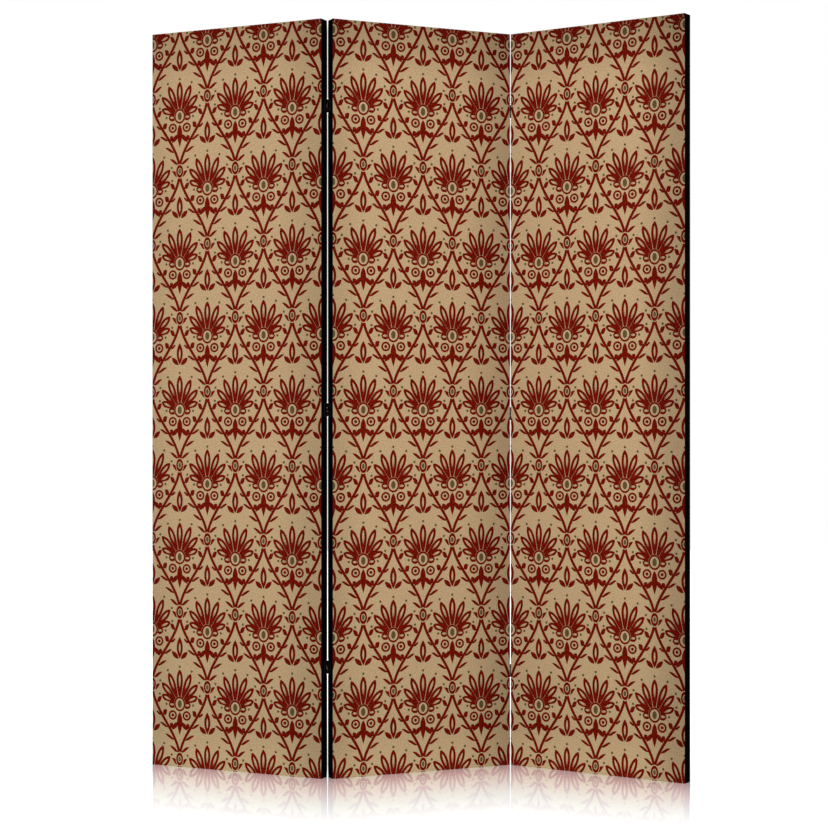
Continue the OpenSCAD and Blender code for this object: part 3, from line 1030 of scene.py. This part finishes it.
def unroll(piece, sizes):
    """Flat coordinates of the canvas: the sides go on past the printed face's rectangle."""
    width = sizes.panel_w
    depth = sizes.panel_t
    height = sizes.panel_h

    def beyond(along, y, whole):
        """A coordinate that runs off the front, down the side and in again on the back."""
        from_edge = min(along, whole - along)
        out = y + from_edge if y > depth / 2 else y - from_edge
        return whole + out if along > whole / 2 else -out

    mesh = piece.data
    layer = mesh.uv_layers.new(name=UNROLLED)
    for face in mesh.polygons:
        centre = face.center
        near_side = min(centre.x, width - centre.x)
        near_end = min(centre.z, height - centre.z)
        on_front = face.normal.y < -0.9 or centre.y < 0.0
        sideways = not on_front and near_side < near_end
        endways = not on_front and not sideways
        for loop in face.loop_indices:
            x, y, z = mesh.vertices[mesh.loops[loop].vertex_index].co
            u = beyond(x, y, width) if sideways else x
            v = beyond(z, y, height) if endways else z
            layer.data[loop].uv = (u, v)


# Cuts from the printed face's edges
CUTS_AT_EDGE = [8 * MM, 15 * MM, 25 * MM, 40 * MM, 62 * MM, 90 * MM]
# Cuts past a hinge's end, between which the canvas comes up from under the leaf
HELD_FLAT = [0.3 * MM, 1.6 * MM, 3.0 * MM, 4.5 * MM]


def loosen_edges(piece, panel, sizes, hardware):
    """Lets a canvas stand out a little at the folds, wherever no hinge holds it flat.

    It does so on the pins' side only, because the other sides of two panels nearly touch
    when their fold is straight."""
    for fold, facts in FOLDS.items():
        for _, own, on_left_edge in leaf_sides(fold):
            if own != panel:
                continue
            way = -1 if on_left_edge else 1
            for vertex in piece.data.vertices:
                x, y, z = vertex.co
                from_edge = x if on_left_edge else sizes.panel_w - x
                from_end = min(z, sizes.panel_h - z)
                from_pins = (y if facts["pin_in_front"] else sizes.panel_t - y) / sizes.panel_t
                from_hinge = min(abs(z - height) for height in PIN_HEIGHTS[fold])
                past_hinge = from_hinge - hardware.hinge_h / 2
                slack = sizes.edge_slack * ease(past_hinge, HELD_FLAT[0], HELD_FLAT[-1])
                slack *= ease(from_end, 0.0, 25 * MM)
                slack *= 1 - ease(from_edge, 2 * MM, 20 * MM)
                vertex.co.x += way * slack * (1 - clamped(from_pins))


def model_canvas(sizes, hardware):
    """One canvas in a panel's own frame: wrapped round the frame and turned over behind."""
    width = sizes.panel_w
    depth = sizes.panel_t
    height = sizes.panel_h
    piece = start_box("canvas_pattern", (0, 0, 0), (width, depth, height))
    pick(piece, "FACE", facing(1, 1))
    bpy.ops.mesh.inset(thickness=sizes.turnover_w, depth=0)
    bpy.ops.mesh.delete(type="FACE")

    # The folded corners show as a groove along each mitre on the back
    groove_w = 0.5 * MM
    groove_depth = 0.3 * MM

    def on_mitre(point):
        side = min(point.x, width - point.x)
        end = min(point.z, height - point.z)
        return point.y > depth - CLOSE and abs(side - end) < CLOSE

    def is_mitre(edge):
        start, stop = [v.co for v in edge.verts]
        slants = abs(start.x - stop.x) > CLOSE and abs(start.z - stop.z) > CLOSE
        return slants and on_mitre(start) and on_mitre(stop)

    pick(piece, "EDGE", is_mitre)
    bpy.ops.mesh.bevel(offset=groove_w, segments=2, affect="EDGES", clamp_overlap=True)
    pick(piece, "VERT", lambda v: on_mitre(v.co))
    bpy.ops.transform.translate(value=(0, -groove_depth, 0))

    # Soft folds over the frame's edges. The mitres' ends have moved in by now.
    def is_corner_edge(edge):
        hits = 0
        for axis, whole in ((0, width), (1, depth), (2, height)):
            ends = [v.co[axis] for v in edge.verts]
            at_low = all(abs(c) < CLOSE for c in ends)
            at_high = all(abs(c - whole) < groove_depth + 0.1 * MM for c in ends)
            hits += at_low or at_high
        return hits >= 2

    pick(piece, "EDGE", is_corner_edge)
    bpy.ops.mesh.bevel(
        offset=sizes.fold_r, segments=3, profile=0.5, affect="EDGES", clamp_overlap=True
    )

    # The fold line of each corner flap on the top and bottom edges
    flap = 3.4 * MM
    line = 0.35 * MM
    line_depth = 0.25 * MM
    flap_cuts = [flap - line, flap, flap + line]
    cut_across(0, flap_cuts + [width - c for c in flap_cuts])
    bpy.ops.object.mode_set(mode="OBJECT")
    for vertex in piece.data.vertices:
        at_flap = abs(min(vertex.co.x, width - vertex.co.x) - flap) < CLOSE
        if at_flap and vertex.co.z < CLOSE:
            vertex.co.z += line_depth
        elif at_flap and vertex.co.z > height - CLOSE:
            vertex.co.z -= line_depth

    # Cuts that let the printed face lie in, and the edges come up between the hinges
    take(piece)
    bpy.ops.object.mode_set(mode="EDIT")
    cut_across(0, canvas_cuts(width, CUTS_AT_EDGE, 30 * MM))
    cut_across(2, canvas_cuts(height, CUTS_AT_EDGE, 50 * MM))
    for pin_height in sum(PIN_HEIGHTS.values(), []):
        for past_hinge in HELD_FLAT:
            reach = hardware.hinge_h / 2 + past_hinge
            cut_across(2, [pin_height - reach, pin_height + reach])
    bpy.ops.object.mode_set(mode="OBJECT")
    for vertex in piece.data.vertices:
        if vertex.co.y < CLOSE:
            vertex.co.y += canvas_dip(vertex.co.x, vertex.co.z, sizes)
    unroll(piece, sizes)
    apply_modifier(
        piece, "SOLIDIFY", thickness=sizes.canvas_t, offset=-1.0, use_even_offset=True
    )
    smooth(piece, 50)
    return piece


# The backing cloth

# How far the backing's waves between the staples reach from their row, and how high they
# are outside and inside it, in millimetres
WAVE_REACH = 0.018
WAVE_RISE_OUTSIDE = 0.55
WAVE_RISE_INSIDE = 0.40
# How far the staples' pull reaches over the timber
PULL_REACH = 50 * MM
# How deep the cloth lies in the bays, near their edges and further in, in millimetres, and
# how much slack and creases change that
BAY_EDGE_DEPTH = 0.8
BAY_DEPTH = 1.9
BAY_SLACK = 0.30
BAY_CREASES = 0.12
# The step down to the timber where the turned-over canvas ends, in millimetres
CANVAS_STEP = 0.4


def backing_height(x, z, sizes, hardware):
    """How far the backing stands out from the panel's back at a place, or lies in."""
    width = sizes.panel_w
    height = sizes.panel_h
    side = min(x, width - x)
    end = min(z, height - z)
    margin = hardware.staple_corner_margin
    rim = 0.0
    pull = 0.0
    for from_edge, along, whole in ((side, z, height), (end, x, width)):
        stops = spread(whole, margin, hardware.backing_staple_pitch)
        pitch = stops[1] - stops[0]
        wave = 0.5 - 0.5 * math.cos(2 * math.pi * (along - margin) / pitch)
        off = from_edge - hardware.backing_staple_inset
        rise = WAVE_RISE_OUTSIDE if off < 0 else WAVE_RISE_INSIDE
        rim = max(rim, wave * math.exp(-(off / WAVE_REACH) ** 2) * rise)
        fades = ease(off, 12 * MM, 30 * MM) * math.exp(-max(off, 0.0) / PULL_REACH)
        pull += (wave - 0.5) * 0.5 * fades
    in_bay = min(side, end) - sizes.batten_w - 2 * MM
    for rail in cross_rail_heights(sizes):
        in_bay = min(in_bay, abs(z - rail) - sizes.batten_w / 2 - 2 * MM)
    bay = BAY_EDGE_DEPTH * ease(in_bay, 0.0, 12 * MM) + BAY_DEPTH * ease(in_bay, 0.0, 90 * MM)
    pull *= ease(in_bay, 0.0, 20 * MM)
    slack = math.sin(x * 31 + z * 7) * math.sin(z * 11 - x * 5)
    creases = math.sin(x * 58 + z * 23 + 2 * math.sin(z * 9)) * math.sin(z * 17 + x * 13)
    bay *= 1 + BAY_SLACK * slack + BAY_CREASES * creases
    turned_canvas = CANVAS_STEP * ease(min(side, end), 28.5 * MM, 34 * MM)
    return (rim + pull - bay - turned_canvas) * MM


def model_backing(sizes, hardware):
    """One backing cloth in a panel's own frame: a sheet with slack between its staples."""
    inset = sizes.backing_inset
    width = sizes.panel_w
    height = sizes.panel_h
    cloth_w = width - 2 * inset
    cloth_h = height - 2 * inset
    rest_all()
    bpy.ops.mesh.primitive_plane_add(
        size=1, location=(width / 2, sizes.panel_t, height / 2),
        rotation=(math.radians(-90), 0, 0),
    )
    piece = bpy.context.object
    piece.name = "backing_pattern"
    piece.scale = (cloth_w, cloth_h, 1)
    bpy.ops.object.transform_apply(location=True, rotation=True, scale=True)
    bpy.ops.object.mode_set(mode="EDIT")
    step = 13.5 * MM
    for axis, whole in ((0, cloth_w), (2, cloth_h)):
        count = round(whole / step)
        cut_across(axis, [inset + i * whole / count for i in range(1, count)])
    bpy.ops.object.mode_set(mode="OBJECT")
    for layer in list(piece.data.uv_layers):
        piece.data.uv_layers.remove(layer)
    layer = piece.data.uv_layers.new(name=UNROLLED)
    for loop in piece.data.loops:
        point = piece.data.vertices[loop.vertex_index].co
        layer.data[loop.index].uv = (point.x, point.z)
    for vertex in piece.data.vertices:
        vertex.co.y += backing_height(vertex.co.x, vertex.co.z, sizes, hardware)
    outward = piece.data.polygons[0].normal.y > 0
    apply_modifier(
        piece, "SOLIDIFY", thickness=sizes.backing_t, offset=1.0 if outward else -1.0
    )
    smooth(piece, 60)
    return piece


# Staples

def model_staple(hardware):
    """One staple: its crown along X on the surface Y = 0, its legs into -Y."""
    half = hardware.staple_w / 2
    leg = hardware.staple_leg
    wire = hardware.wire_t
    high = hardware.wire_w / 2
    bend = wire * 0.8
    slant = 0.5 * MM

    def is_leg_root(face):
        return face.normal.y < -SQUARE_ON and abs(face.calc_center_median().x) > half - wire

    def is_bend(vertex):
        return abs(vertex.co.x) > half - CLOSE and vertex.co.y > wire - CLOSE

    def is_outer_tip(vertex):
        return abs(vertex.co.x) > half - CLOSE and vertex.co.y < CLOSE - leg

    piece = start_box("staple_pattern", (-half, 0, -high), (half, wire, high))
    cut_across(0, [wire - half, half - wire])
    pick(piece, "FACE", is_leg_root)
    bpy.ops.mesh.extrude_region_move(TRANSFORM_OT_translate={"value": (0, -leg, 0)})
    pick(piece, "EDGE", lambda edge: all(is_bend(v) for v in edge.verts))
    bpy.ops.mesh.bevel(offset=bend, segments=3, affect="EDGES")
    pick(piece, "VERT", is_outer_tip)
    bpy.ops.transform.translate(value=(0, slant, 0))
    bpy.ops.object.mode_set(mode="OBJECT")
    face_outwards(piece)
    smooth(piece, 40)
    return piece


# How far a staple may lean, in degrees, and slip from its place, in millimetres
STAPLE_LEAN = 2.5
STAPLE_SLIP = 0.4


def staple_places(panel, sizes, inset, pitch, seat, hardware, draw):
    """The matrices of one row of staples along each edge of a panel."""
    width = sizes.panel_w
    height = sizes.panel_h
    margin = hardware.staple_corner_margin
    spots = []
    for x in spread(width, margin, pitch):
        for z in (inset, height - inset):
            spots.append((x, z, 0.0))
    for z in spread(height, margin, pitch):
        for x in (inset, width - inset):
            spots.append((x, z, 90.0))
    places = []
    for x, z, turn in spots:
        lean = math.radians(turn + draw.uniform(-STAPLE_LEAN, STAPLE_LEAN))
        slip = draw.uniform(-STAPLE_SLIP, STAPLE_SLIP) * MM
        spot = Matrix.Translation((x + slip, seat, z - slip))
        places.append(PLACES[panel] @ spot @ Matrix.Rotation(lean, 4, "Y"))
    return places


# Hinges and screws. A leaf is drawn on a panel's right edge with the pin behind the panel:
# X = Y = 0 is the pin's axis, and the panel lies past X = -half_gap.

def half_gap(hardware):
    """From the pin's axis to the panel's side, which is also the knuckles' radius."""
    return hardware.pin_d / 2 + hardware.pin_clearance + hardware.leaf_t


def screw_heights(hardware):
    """Heights of a leaf's screws, from the middle of the hinge."""
    return [-hardware.screw_pitch / 2, hardware.screw_pitch / 2]


def screw_out(hardware):
    """How far the screws lie from the pin's axis, in the middle of the leaf's plate."""
    return (half_gap(hardware) + hardware.knuckle_gap + hardware.leaf_reach) / 2


# How far a knuckle's strip is rolled round the pin
ROLL_STEPS = 22
ROLL_ANGLE = math.radians(312)


def model_leaf(hardware, outer):
    """One hinge leaf: a plate whose knuckles are rolled round the pin."""
    gap = half_gap(hardware)
    thick = hardware.leaf_t
    notch = gap + hardware.knuckle_gap
    high = hardware.hinge_h / 2
    share = hardware.inner_knuckle_h / 2
    slit = hardware.knuckle_gap / 2
    name = "moving_leaf_pattern" if outer else "fixed_leaf_pattern"
    piece = start_box(name, (-gap, -hardware.leaf_reach, -high), (thick - gap, -notch, high))

    # Round the free corners
    def at_free_corner(edge):
        heights = [v.co.z for v in edge.verts]
        level = abs(heights[0] - heights[1]) < CLOSE and abs(abs(heights[0]) - high) < CLOSE
        return level and all(v.co.y < CLOSE - hardware.leaf_reach for v in edge.verts)

    pick(piece, "EDGE", at_free_corner)
    bpy.ops.mesh.bevel(offset=hardware.leaf_corner_r, segments=6, affect="EDGES")

    # Draw the knuckles' strips out to the pin's axis and roll them round it
    meet = share + slit if outer else share - slit
    cut_across(2, [-meet, meet])

    def is_strip(face):
        beside = abs(face.calc_center_median().z)
        wanted = beside > meet if outer else beside < meet
        return face.normal.y > SQUARE_ON and wanted

    pick(piece, "FACE", is_strip)
    bpy.ops.mesh.extrude_region_move(TRANSFORM_OT_translate={"value": (0, notch, 0)})
    bpy.ops.mesh.spin(steps=ROLL_STEPS, angle=ROLL_ANGLE, center=(0, 0, 0), axis=(0, 0, 1))
    bpy.ops.object.mode_set(mode="OBJECT")
    face_outwards(piece)

    # Countersink the screw holes
    sink = hardware.screw_head_d / 2 + 0.06 * MM
    over = 0.4 * MM
    for z in screw_heights(hardware):
        rest_all()
        bpy.ops.mesh.primitive_cone_add(
            vertices=36, radius1=sink - thick - over, radius2=sink + over,
            depth=thick + 2 * over,
            location=(thick / 2 - gap, -screw_out(hardware), z),
            rotation=(0, math.radians(90), 0),
        )
        carve(piece, bpy.context.object)
    apply_modifier(
        piece, "BEVEL", width=0.12 * MM, segments=2, limit_method="ANGLE",
        angle_limit=math.radians(40), use_clamp_overlap=True,
    )
    smooth(piece, 35)
    return piece


def model_pin(hardware):
    """One hinge pin with a domed, peened head at each end."""
    shank = hardware.pin_d / 2
    head = (shank + half_gap(hardware)) / 2
    end = hardware.hinge_h / 2
    rim = 0.35 * hardware.pin_head_h
    dome = 0.65 * hardware.pin_head_h
    upper = [(shank, 0.0), (shank, end), (head, end), (head, end + rim)]
    for degrees in (25, 50, 72):
        angle = math.radians(degrees)
        upper.append((head * math.cos(angle), end + rim + dome * math.sin(angle)))
    lower = [(r, -z) for r, z in reversed(upper[1:])]
    piece = turned_piece("pin_pattern", lower + upper, 28)
    smooth(piece, 35)
    return piece


def model_screw(hardware):
    """One countersunk wood screw: head face at Z = 0, point down, threads and a cross recess."""
    shank = hardware.screw_d / 2
    head = hardware.screw_head_d / 2
    head_h = head - shank
    core = shank * 0.72
    neck = 2.4 * MM
    rim = 0.08 * MM
    pitch = hardware.thread_pitch
    tip_z = hardware.screw_tip - hardware.screw_l
    height = -head_h - neck
    profile = [(head - rim, 0.0), (head, -rim), (shank, -head_h), (shank, height)]
    while height - pitch > tip_z:
        for radius, share in ((core, 0.25), (core, 0.60), (shank, 0.85)):
            profile.append((radius, height - share * pitch))
        height -= pitch
    profile += [(core, tip_z), (core * 0.4, -hardware.screw_l * 0.94), (0, -hardware.screw_l)]
    piece = turned_piece("screw_pattern", profile, 20)
    half_l = hardware.recess_l / 2
    half_w = hardware.recess_w / 2
    depth = hardware.recess_depth
    narrowing = 0.62
    for x, y in ((half_l, half_w), (half_w, half_l)):
        slot = start_box("recess_cutter", (-x, -y, -depth), (x, y, 1 * MM))
        # The slot narrows towards its foot
        pick(slot, "FACE", facing(2, -1))
        bpy.ops.transform.resize(
            value=(narrowing, narrowing, 1), center_override=(0, 0, -depth)
        )
        bpy.ops.object.mode_set(mode="OBJECT")
        carve(piece, slot)
    smooth(piece, 35)
    return piece


def hinge_place(fold, level, panel, on_left_edge):
    """Carries the leaf's own frame to a hinge on a panel, mirrored where it has to be."""
    low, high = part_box(f"{fold}_{level}_pin")
    centre = (low + high) / 2
    turn = Matrix.Rotation(math.radians(PANEL_TURNS[panel]), 4, "Z")
    flip_x = -1 if on_left_edge else 1
    flip_y = -1 if FOLDS[fold]["pin_in_front"] else 1
    flip = Matrix.Diagonal((flip_x, flip_y, 1, 1))
    return Matrix.Translation(centre) @ turn @ flip


def leaf_sides(fold):
    """The two leaves of a fold: kind, panel that it rides on, and whether on a left edge."""
    outer_left = FOLDS[fold]["outer_on_left_edge"]
    return [
        ("moving_leaf", FOLDS[fold]["outer"], outer_left),
        ("fixed_leaf", "middle_panel", not outer_left),
    ]


def screws_in_leaf(hardware):
    """Places of a leaf's two screws, in the leaf's own frame."""
    out = -screw_out(hardware)
    x = hardware.leaf_t - half_gap(hardware)
    return [
        Matrix.Translation((x, out, z)) @ Matrix.Rotation(math.radians(90), 4, "Y")
        for z in screw_heights(hardware)
    ]


# The node of the screws in each fold's leaves
SCREW_GROUPS = {
    ("left_fold", "moving_leaf"): "left_panel_hinge_screws",
    ("left_fold", "fixed_leaf"): "middle_panel_left_hinge_screws",
    ("right_fold", "fixed_leaf"): "middle_panel_right_hinge_screws",
    ("right_fold", "moving_leaf"): "right_panel_hinge_screws",
}


# Operators

# The film's width in millimetres, the camera's farthest view in metres, the floor slab's
# thickness and rounded rim, and the point that the lights face
FILM_W = 36
FAR_CLIP = 60
FLOOR_T = 40 * MM
FLOOR_RIM = 30 * MM
LIGHTS_AIM = Vector((0, 0, 0.95))


class SCREEN_OT_stage(bpy.types.Operator):
    """Sets the camera, the pale floor and the soft studio light"""

    bl_idname = "screen.stage"
    bl_label = "Studio stage"

    def execute(self, context):
        studio = context.scene.screen_studio
        sizes = context.scene.screen_cloth
        rest_all()
        bpy.ops.object.camera_add(
            location=(studio.camera_x, studio.camera_y, studio.camera_z),
            rotation=(math.radians(90), 0, -studio.camera_turn),
        )
        camera = context.object
        camera.name = "camera"
        camera.data.sensor_width = FILM_W
        camera.data.lens = studio.lens
        camera.data.shift_y = studio.shift_up
        camera.data.clip_end = FAR_CLIP
        context.scene.camera = camera

        half = studio.floor_side / 2
        floor = start_box("studio_floor", (-half, -half, -FLOOR_T), (half, half, 0))
        pick(floor, "EDGE", lambda edge: all(v.co.z > -CLOSE for v in edge.verts))
        bpy.ops.mesh.bevel(offset=FLOOR_RIM, segments=4, affect="EDGES")
        bpy.ops.object.mode_set(mode="OBJECT")
        smooth(floor)
        floor.data.materials.append(floor_finish(studio, sizes))

        lights = [
            ("key_light", Vector((-2.2, -4.2, 3.4)), 3.2, studio.key_power),
            ("fill_light", Vector((3.2, -3.2, 2.4)), 2.6, studio.fill_power),
            ("back_light", Vector((0.6, 3.6, 3.2)), 2.6, studio.fill_power),
        ]
        for name, place, side, power in lights:
            rest_all()
            bpy.ops.object.light_add(type="AREA", location=place)
            light = context.object
            light.name = name
            light.data.shape = "SQUARE"
            light.data.size = side
            light.data.energy = power
            light.rotation_euler = (LIGHTS_AIM - place).to_track_quat("-Z", "Y").to_euler()

        world = bpy.data.worlds.new("white_surround")
        world.use_nodes = True
        background = world.node_tree.nodes["Background"]
        background.inputs["Color"].default_value = (1, 1, 1, 1)
        background.inputs["Strength"].default_value = studio.surround
        context.scene.world = world
        context.scene.view_settings.view_transform = "Standard"
        return {"FINISHED"}


class SCREEN_OT_canvases(bpy.types.Operator):
    """Stretches a printed canvas over each panel"""

    bl_idname = "screen.canvases"
    bl_label = "Printed canvases"

    def execute(self, context):
        sizes = context.scene.screen_cloth
        hardware = context.scene.screen_hardware
        pattern = model_canvas(sizes, hardware)
        for panel in PANELS:
            material = canvas_finish(context.scene.screen_print, sizes, panel)
            piece = copy_to(pattern, f"{panel}_stretched_canvas", [Matrix()])
            loosen_edges(piece, panel, sizes, hardware)
            piece.data.transform(PLACES[panel])
            finish_piece(
                piece, panel, [f"{panel}_printed_canvas"], material
            )
        bpy.data.objects.remove(pattern)
        return {"FINISHED"}


class SCREEN_OT_backings(bpy.types.Operator):
    """Lays a black backing cloth over the back of each panel"""

    bl_idname = "screen.backings"
    bl_label = "Backing cloths"

    def execute(self, context):
        sizes = context.scene.screen_cloth
        material = backing_finish(context.scene.screen_finishes, sizes)
        pattern = model_backing(sizes, context.scene.screen_hardware)
        for panel in PANELS:
            piece = copy_to(pattern, f"{panel}_backing_sheet", [PLACES[panel]])
            finish_piece(piece, panel, [f"{panel}_backing_cloth"], material)
        bpy.data.objects.remove(pattern)
        return {"FINISHED"}


class SCREEN_OT_staples(bpy.types.Operator):
    """Drives the staples that hold the canvas and the backing"""

    bl_idname = "screen.staples"
    bl_label = "Staples"

    def execute(self, context):
        sizes = context.scene.screen_cloth
        hardware = context.scene.screen_hardware
        material = wire_finish(context.scene.screen_finishes)
        pattern = model_staple(hardware)
        draw = random.Random(4)
        rows = [
            ("canvas", hardware.canvas_staple_inset, hardware.canvas_staple_pitch, sizes.panel_t),
            ("backing", hardware.backing_staple_inset, hardware.backing_staple_pitch,
             sizes.panel_t + sizes.backing_t),
        ]
        for panel in PANELS:
            for kind, inset, pitch, seat in rows:
                places = staple_places(panel, sizes, inset, pitch, seat, hardware, draw)
                piece = copy_to(pattern, f"{panel}_{kind}_staple_rows", places)
                finish_piece(
                    piece, panel, [f"{panel}_{kind}_staples"], material
                )
        bpy.data.objects.remove(pattern)
        return {"FINISHED"}


class SCREEN_OT_hinges(bpy.types.Operator):
    """Makes the rolled leaves and the pins of the six hinges"""

    bl_idname = "screen.hinges"
    bl_label = "Hinges"

    def execute(self, context):
        hardware = context.scene.screen_hardware
        finishes = context.scene.screen_finishes
        paint = painted_finish(finishes)
        steel = dark_metal_finish("hinge_pin", finishes.pin, 0.28)
        patterns = {
            "moving_leaf": model_leaf(hardware, True),
            "fixed_leaf": model_leaf(hardware, False),
            "pin": model_pin(hardware),
        }
        for fold in FOLDS:
            for level in HINGE_LEVELS:
                hinge = f"{fold}_{level}"
                for kind, panel, on_left_edge in leaf_sides(fold):
                    place = hinge_place(fold, level, panel, on_left_edge)
                    piece = copy_to(patterns[kind], f"{hinge}_rolled_{kind}", [place])
                    finish_piece(piece, panel, [f"{hinge}_{kind}"], paint)
                outer = FOLDS[fold]["outer"]
                place = hinge_place(fold, level, outer, FOLDS[fold]["outer_on_left_edge"])
                piece = copy_to(patterns["pin"], f"{hinge}_peened_pin", [place])
                finish_piece(piece, outer, [f"{hinge}_pin"], steel)
        for pattern in patterns.values():
            bpy.data.objects.remove(pattern)
        return {"FINISHED"}


class SCREEN_OT_screws(bpy.types.Operator):
    """Drives the countersunk screws of the hinge leaves"""

    bl_idname = "screen.screws"
    bl_label = "Hinge screws"

    def execute(self, context):
        hardware = context.scene.screen_hardware
        steel = dark_metal_finish("screw_steel", context.scene.screen_finishes.screw, 0.32)
        pattern = model_screw(hardware)
        draw = random.Random(9)
        for fold in FOLDS:
            for kind, panel, on_left_edge in leaf_sides(fold):
                places = []
                for level in HINGE_LEVELS:
                    hinge = hinge_place(fold, level, panel, on_left_edge)
                    for spot in screws_in_leaf(hardware):
                        driven = Matrix.Rotation(draw.uniform(0, math.pi / 2), 4, "Z")
                        places.append(hinge @ spot @ driven)
                group = SCREW_GROUPS[fold, kind]
                piece = copy_to(pattern, group.replace("hinge", "leaf"), places)
                finish_piece(piece, panel, [group], steel)
        bpy.data.objects.remove(pattern)
        return {"FINISHED"}


class SCREEN_OT_timber(bpy.types.Operator):
    """Gives the battens and dowels their timber finishes"""

    bl_idname = "screen.timber"
    bl_label = "Timber"

    def execute(self, context):
        finishes = context.scene.screen_finishes
        for panel in PANELS:
            upright = pine_finish(finishes, panel, True)
            level = pine_finish(finishes, panel, False)
            beech = beech_finish(finishes, panel)
            timbers = {
                "left_stile": upright, "right_stile": upright, "top_rail": level,
                "bottom_rail": level, "upper_cross_rail": level, "lower_cross_rail": level,
                "dowels": beech,
            }
            for name, material in timbers.items():
                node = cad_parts[f"{panel}_{name}"]
                node.data.materials.clear()
                node.data.materials.append(material)
        return {"FINISHED"}


class VIEW3D_PT_folding_screen(bpy.types.Panel):
    """The screen's makers and settings in the sidebar"""

    bl_idname = "VIEW3D_PT_folding_screen"
    bl_label = "Folding screen"
    bl_space_type = "VIEW_3D"
    bl_region_type = "UI"
    bl_category = "Screen"

    def draw(self, context):
        layout = self.layout
        for maker in MAKERS:
            layout.operator(maker.bl_idname)
        for group in SETTINGS:
            settings = getattr(context.scene, group)
            box = layout.box()
            for name in settings.bl_rna.properties.keys():
                if name not in ("name", "rna_type"):
                    box.prop(settings, name)


MAKERS = [
    SCREEN_OT_stage, SCREEN_OT_canvases, SCREEN_OT_backings, SCREEN_OT_staples,
    SCREEN_OT_hinges, SCREEN_OT_screws, SCREEN_OT_timber,
]
SETTINGS = {
    "screen_cloth": ScreenClothSizes,
    "screen_hardware": ScreenHardwareSizes,
    "screen_print": ScreenPrintDesign,
    "screen_finishes": ScreenFinishes,
    "screen_studio": ScreenStudio,
}
CLASSES = [*SETTINGS.values(), *MAKERS, VIEW3D_PT_folding_screen]


def register():
    for cls in CLASSES:
        bpy.utils.register_class(cls)
    for name, group in SETTINGS.items():
        setattr(bpy.types.Scene, name, PointerProperty(type=group))


def unregister():
    for name in SETTINGS:
        delattr(bpy.types.Scene, name)
    for cls in reversed(CLASSES):
        bpy.utils.unregister_class(cls)


def main():
    register()
    bpy.ops.screen.stage()
    bpy.ops.screen.canvases()
    bpy.ops.screen.backings()
    bpy.ops.screen.staples()
    bpy.ops.screen.hinges()
    bpy.ops.screen.screws()
    bpy.ops.screen.timber()


if __name__ == "__main__":
    main()
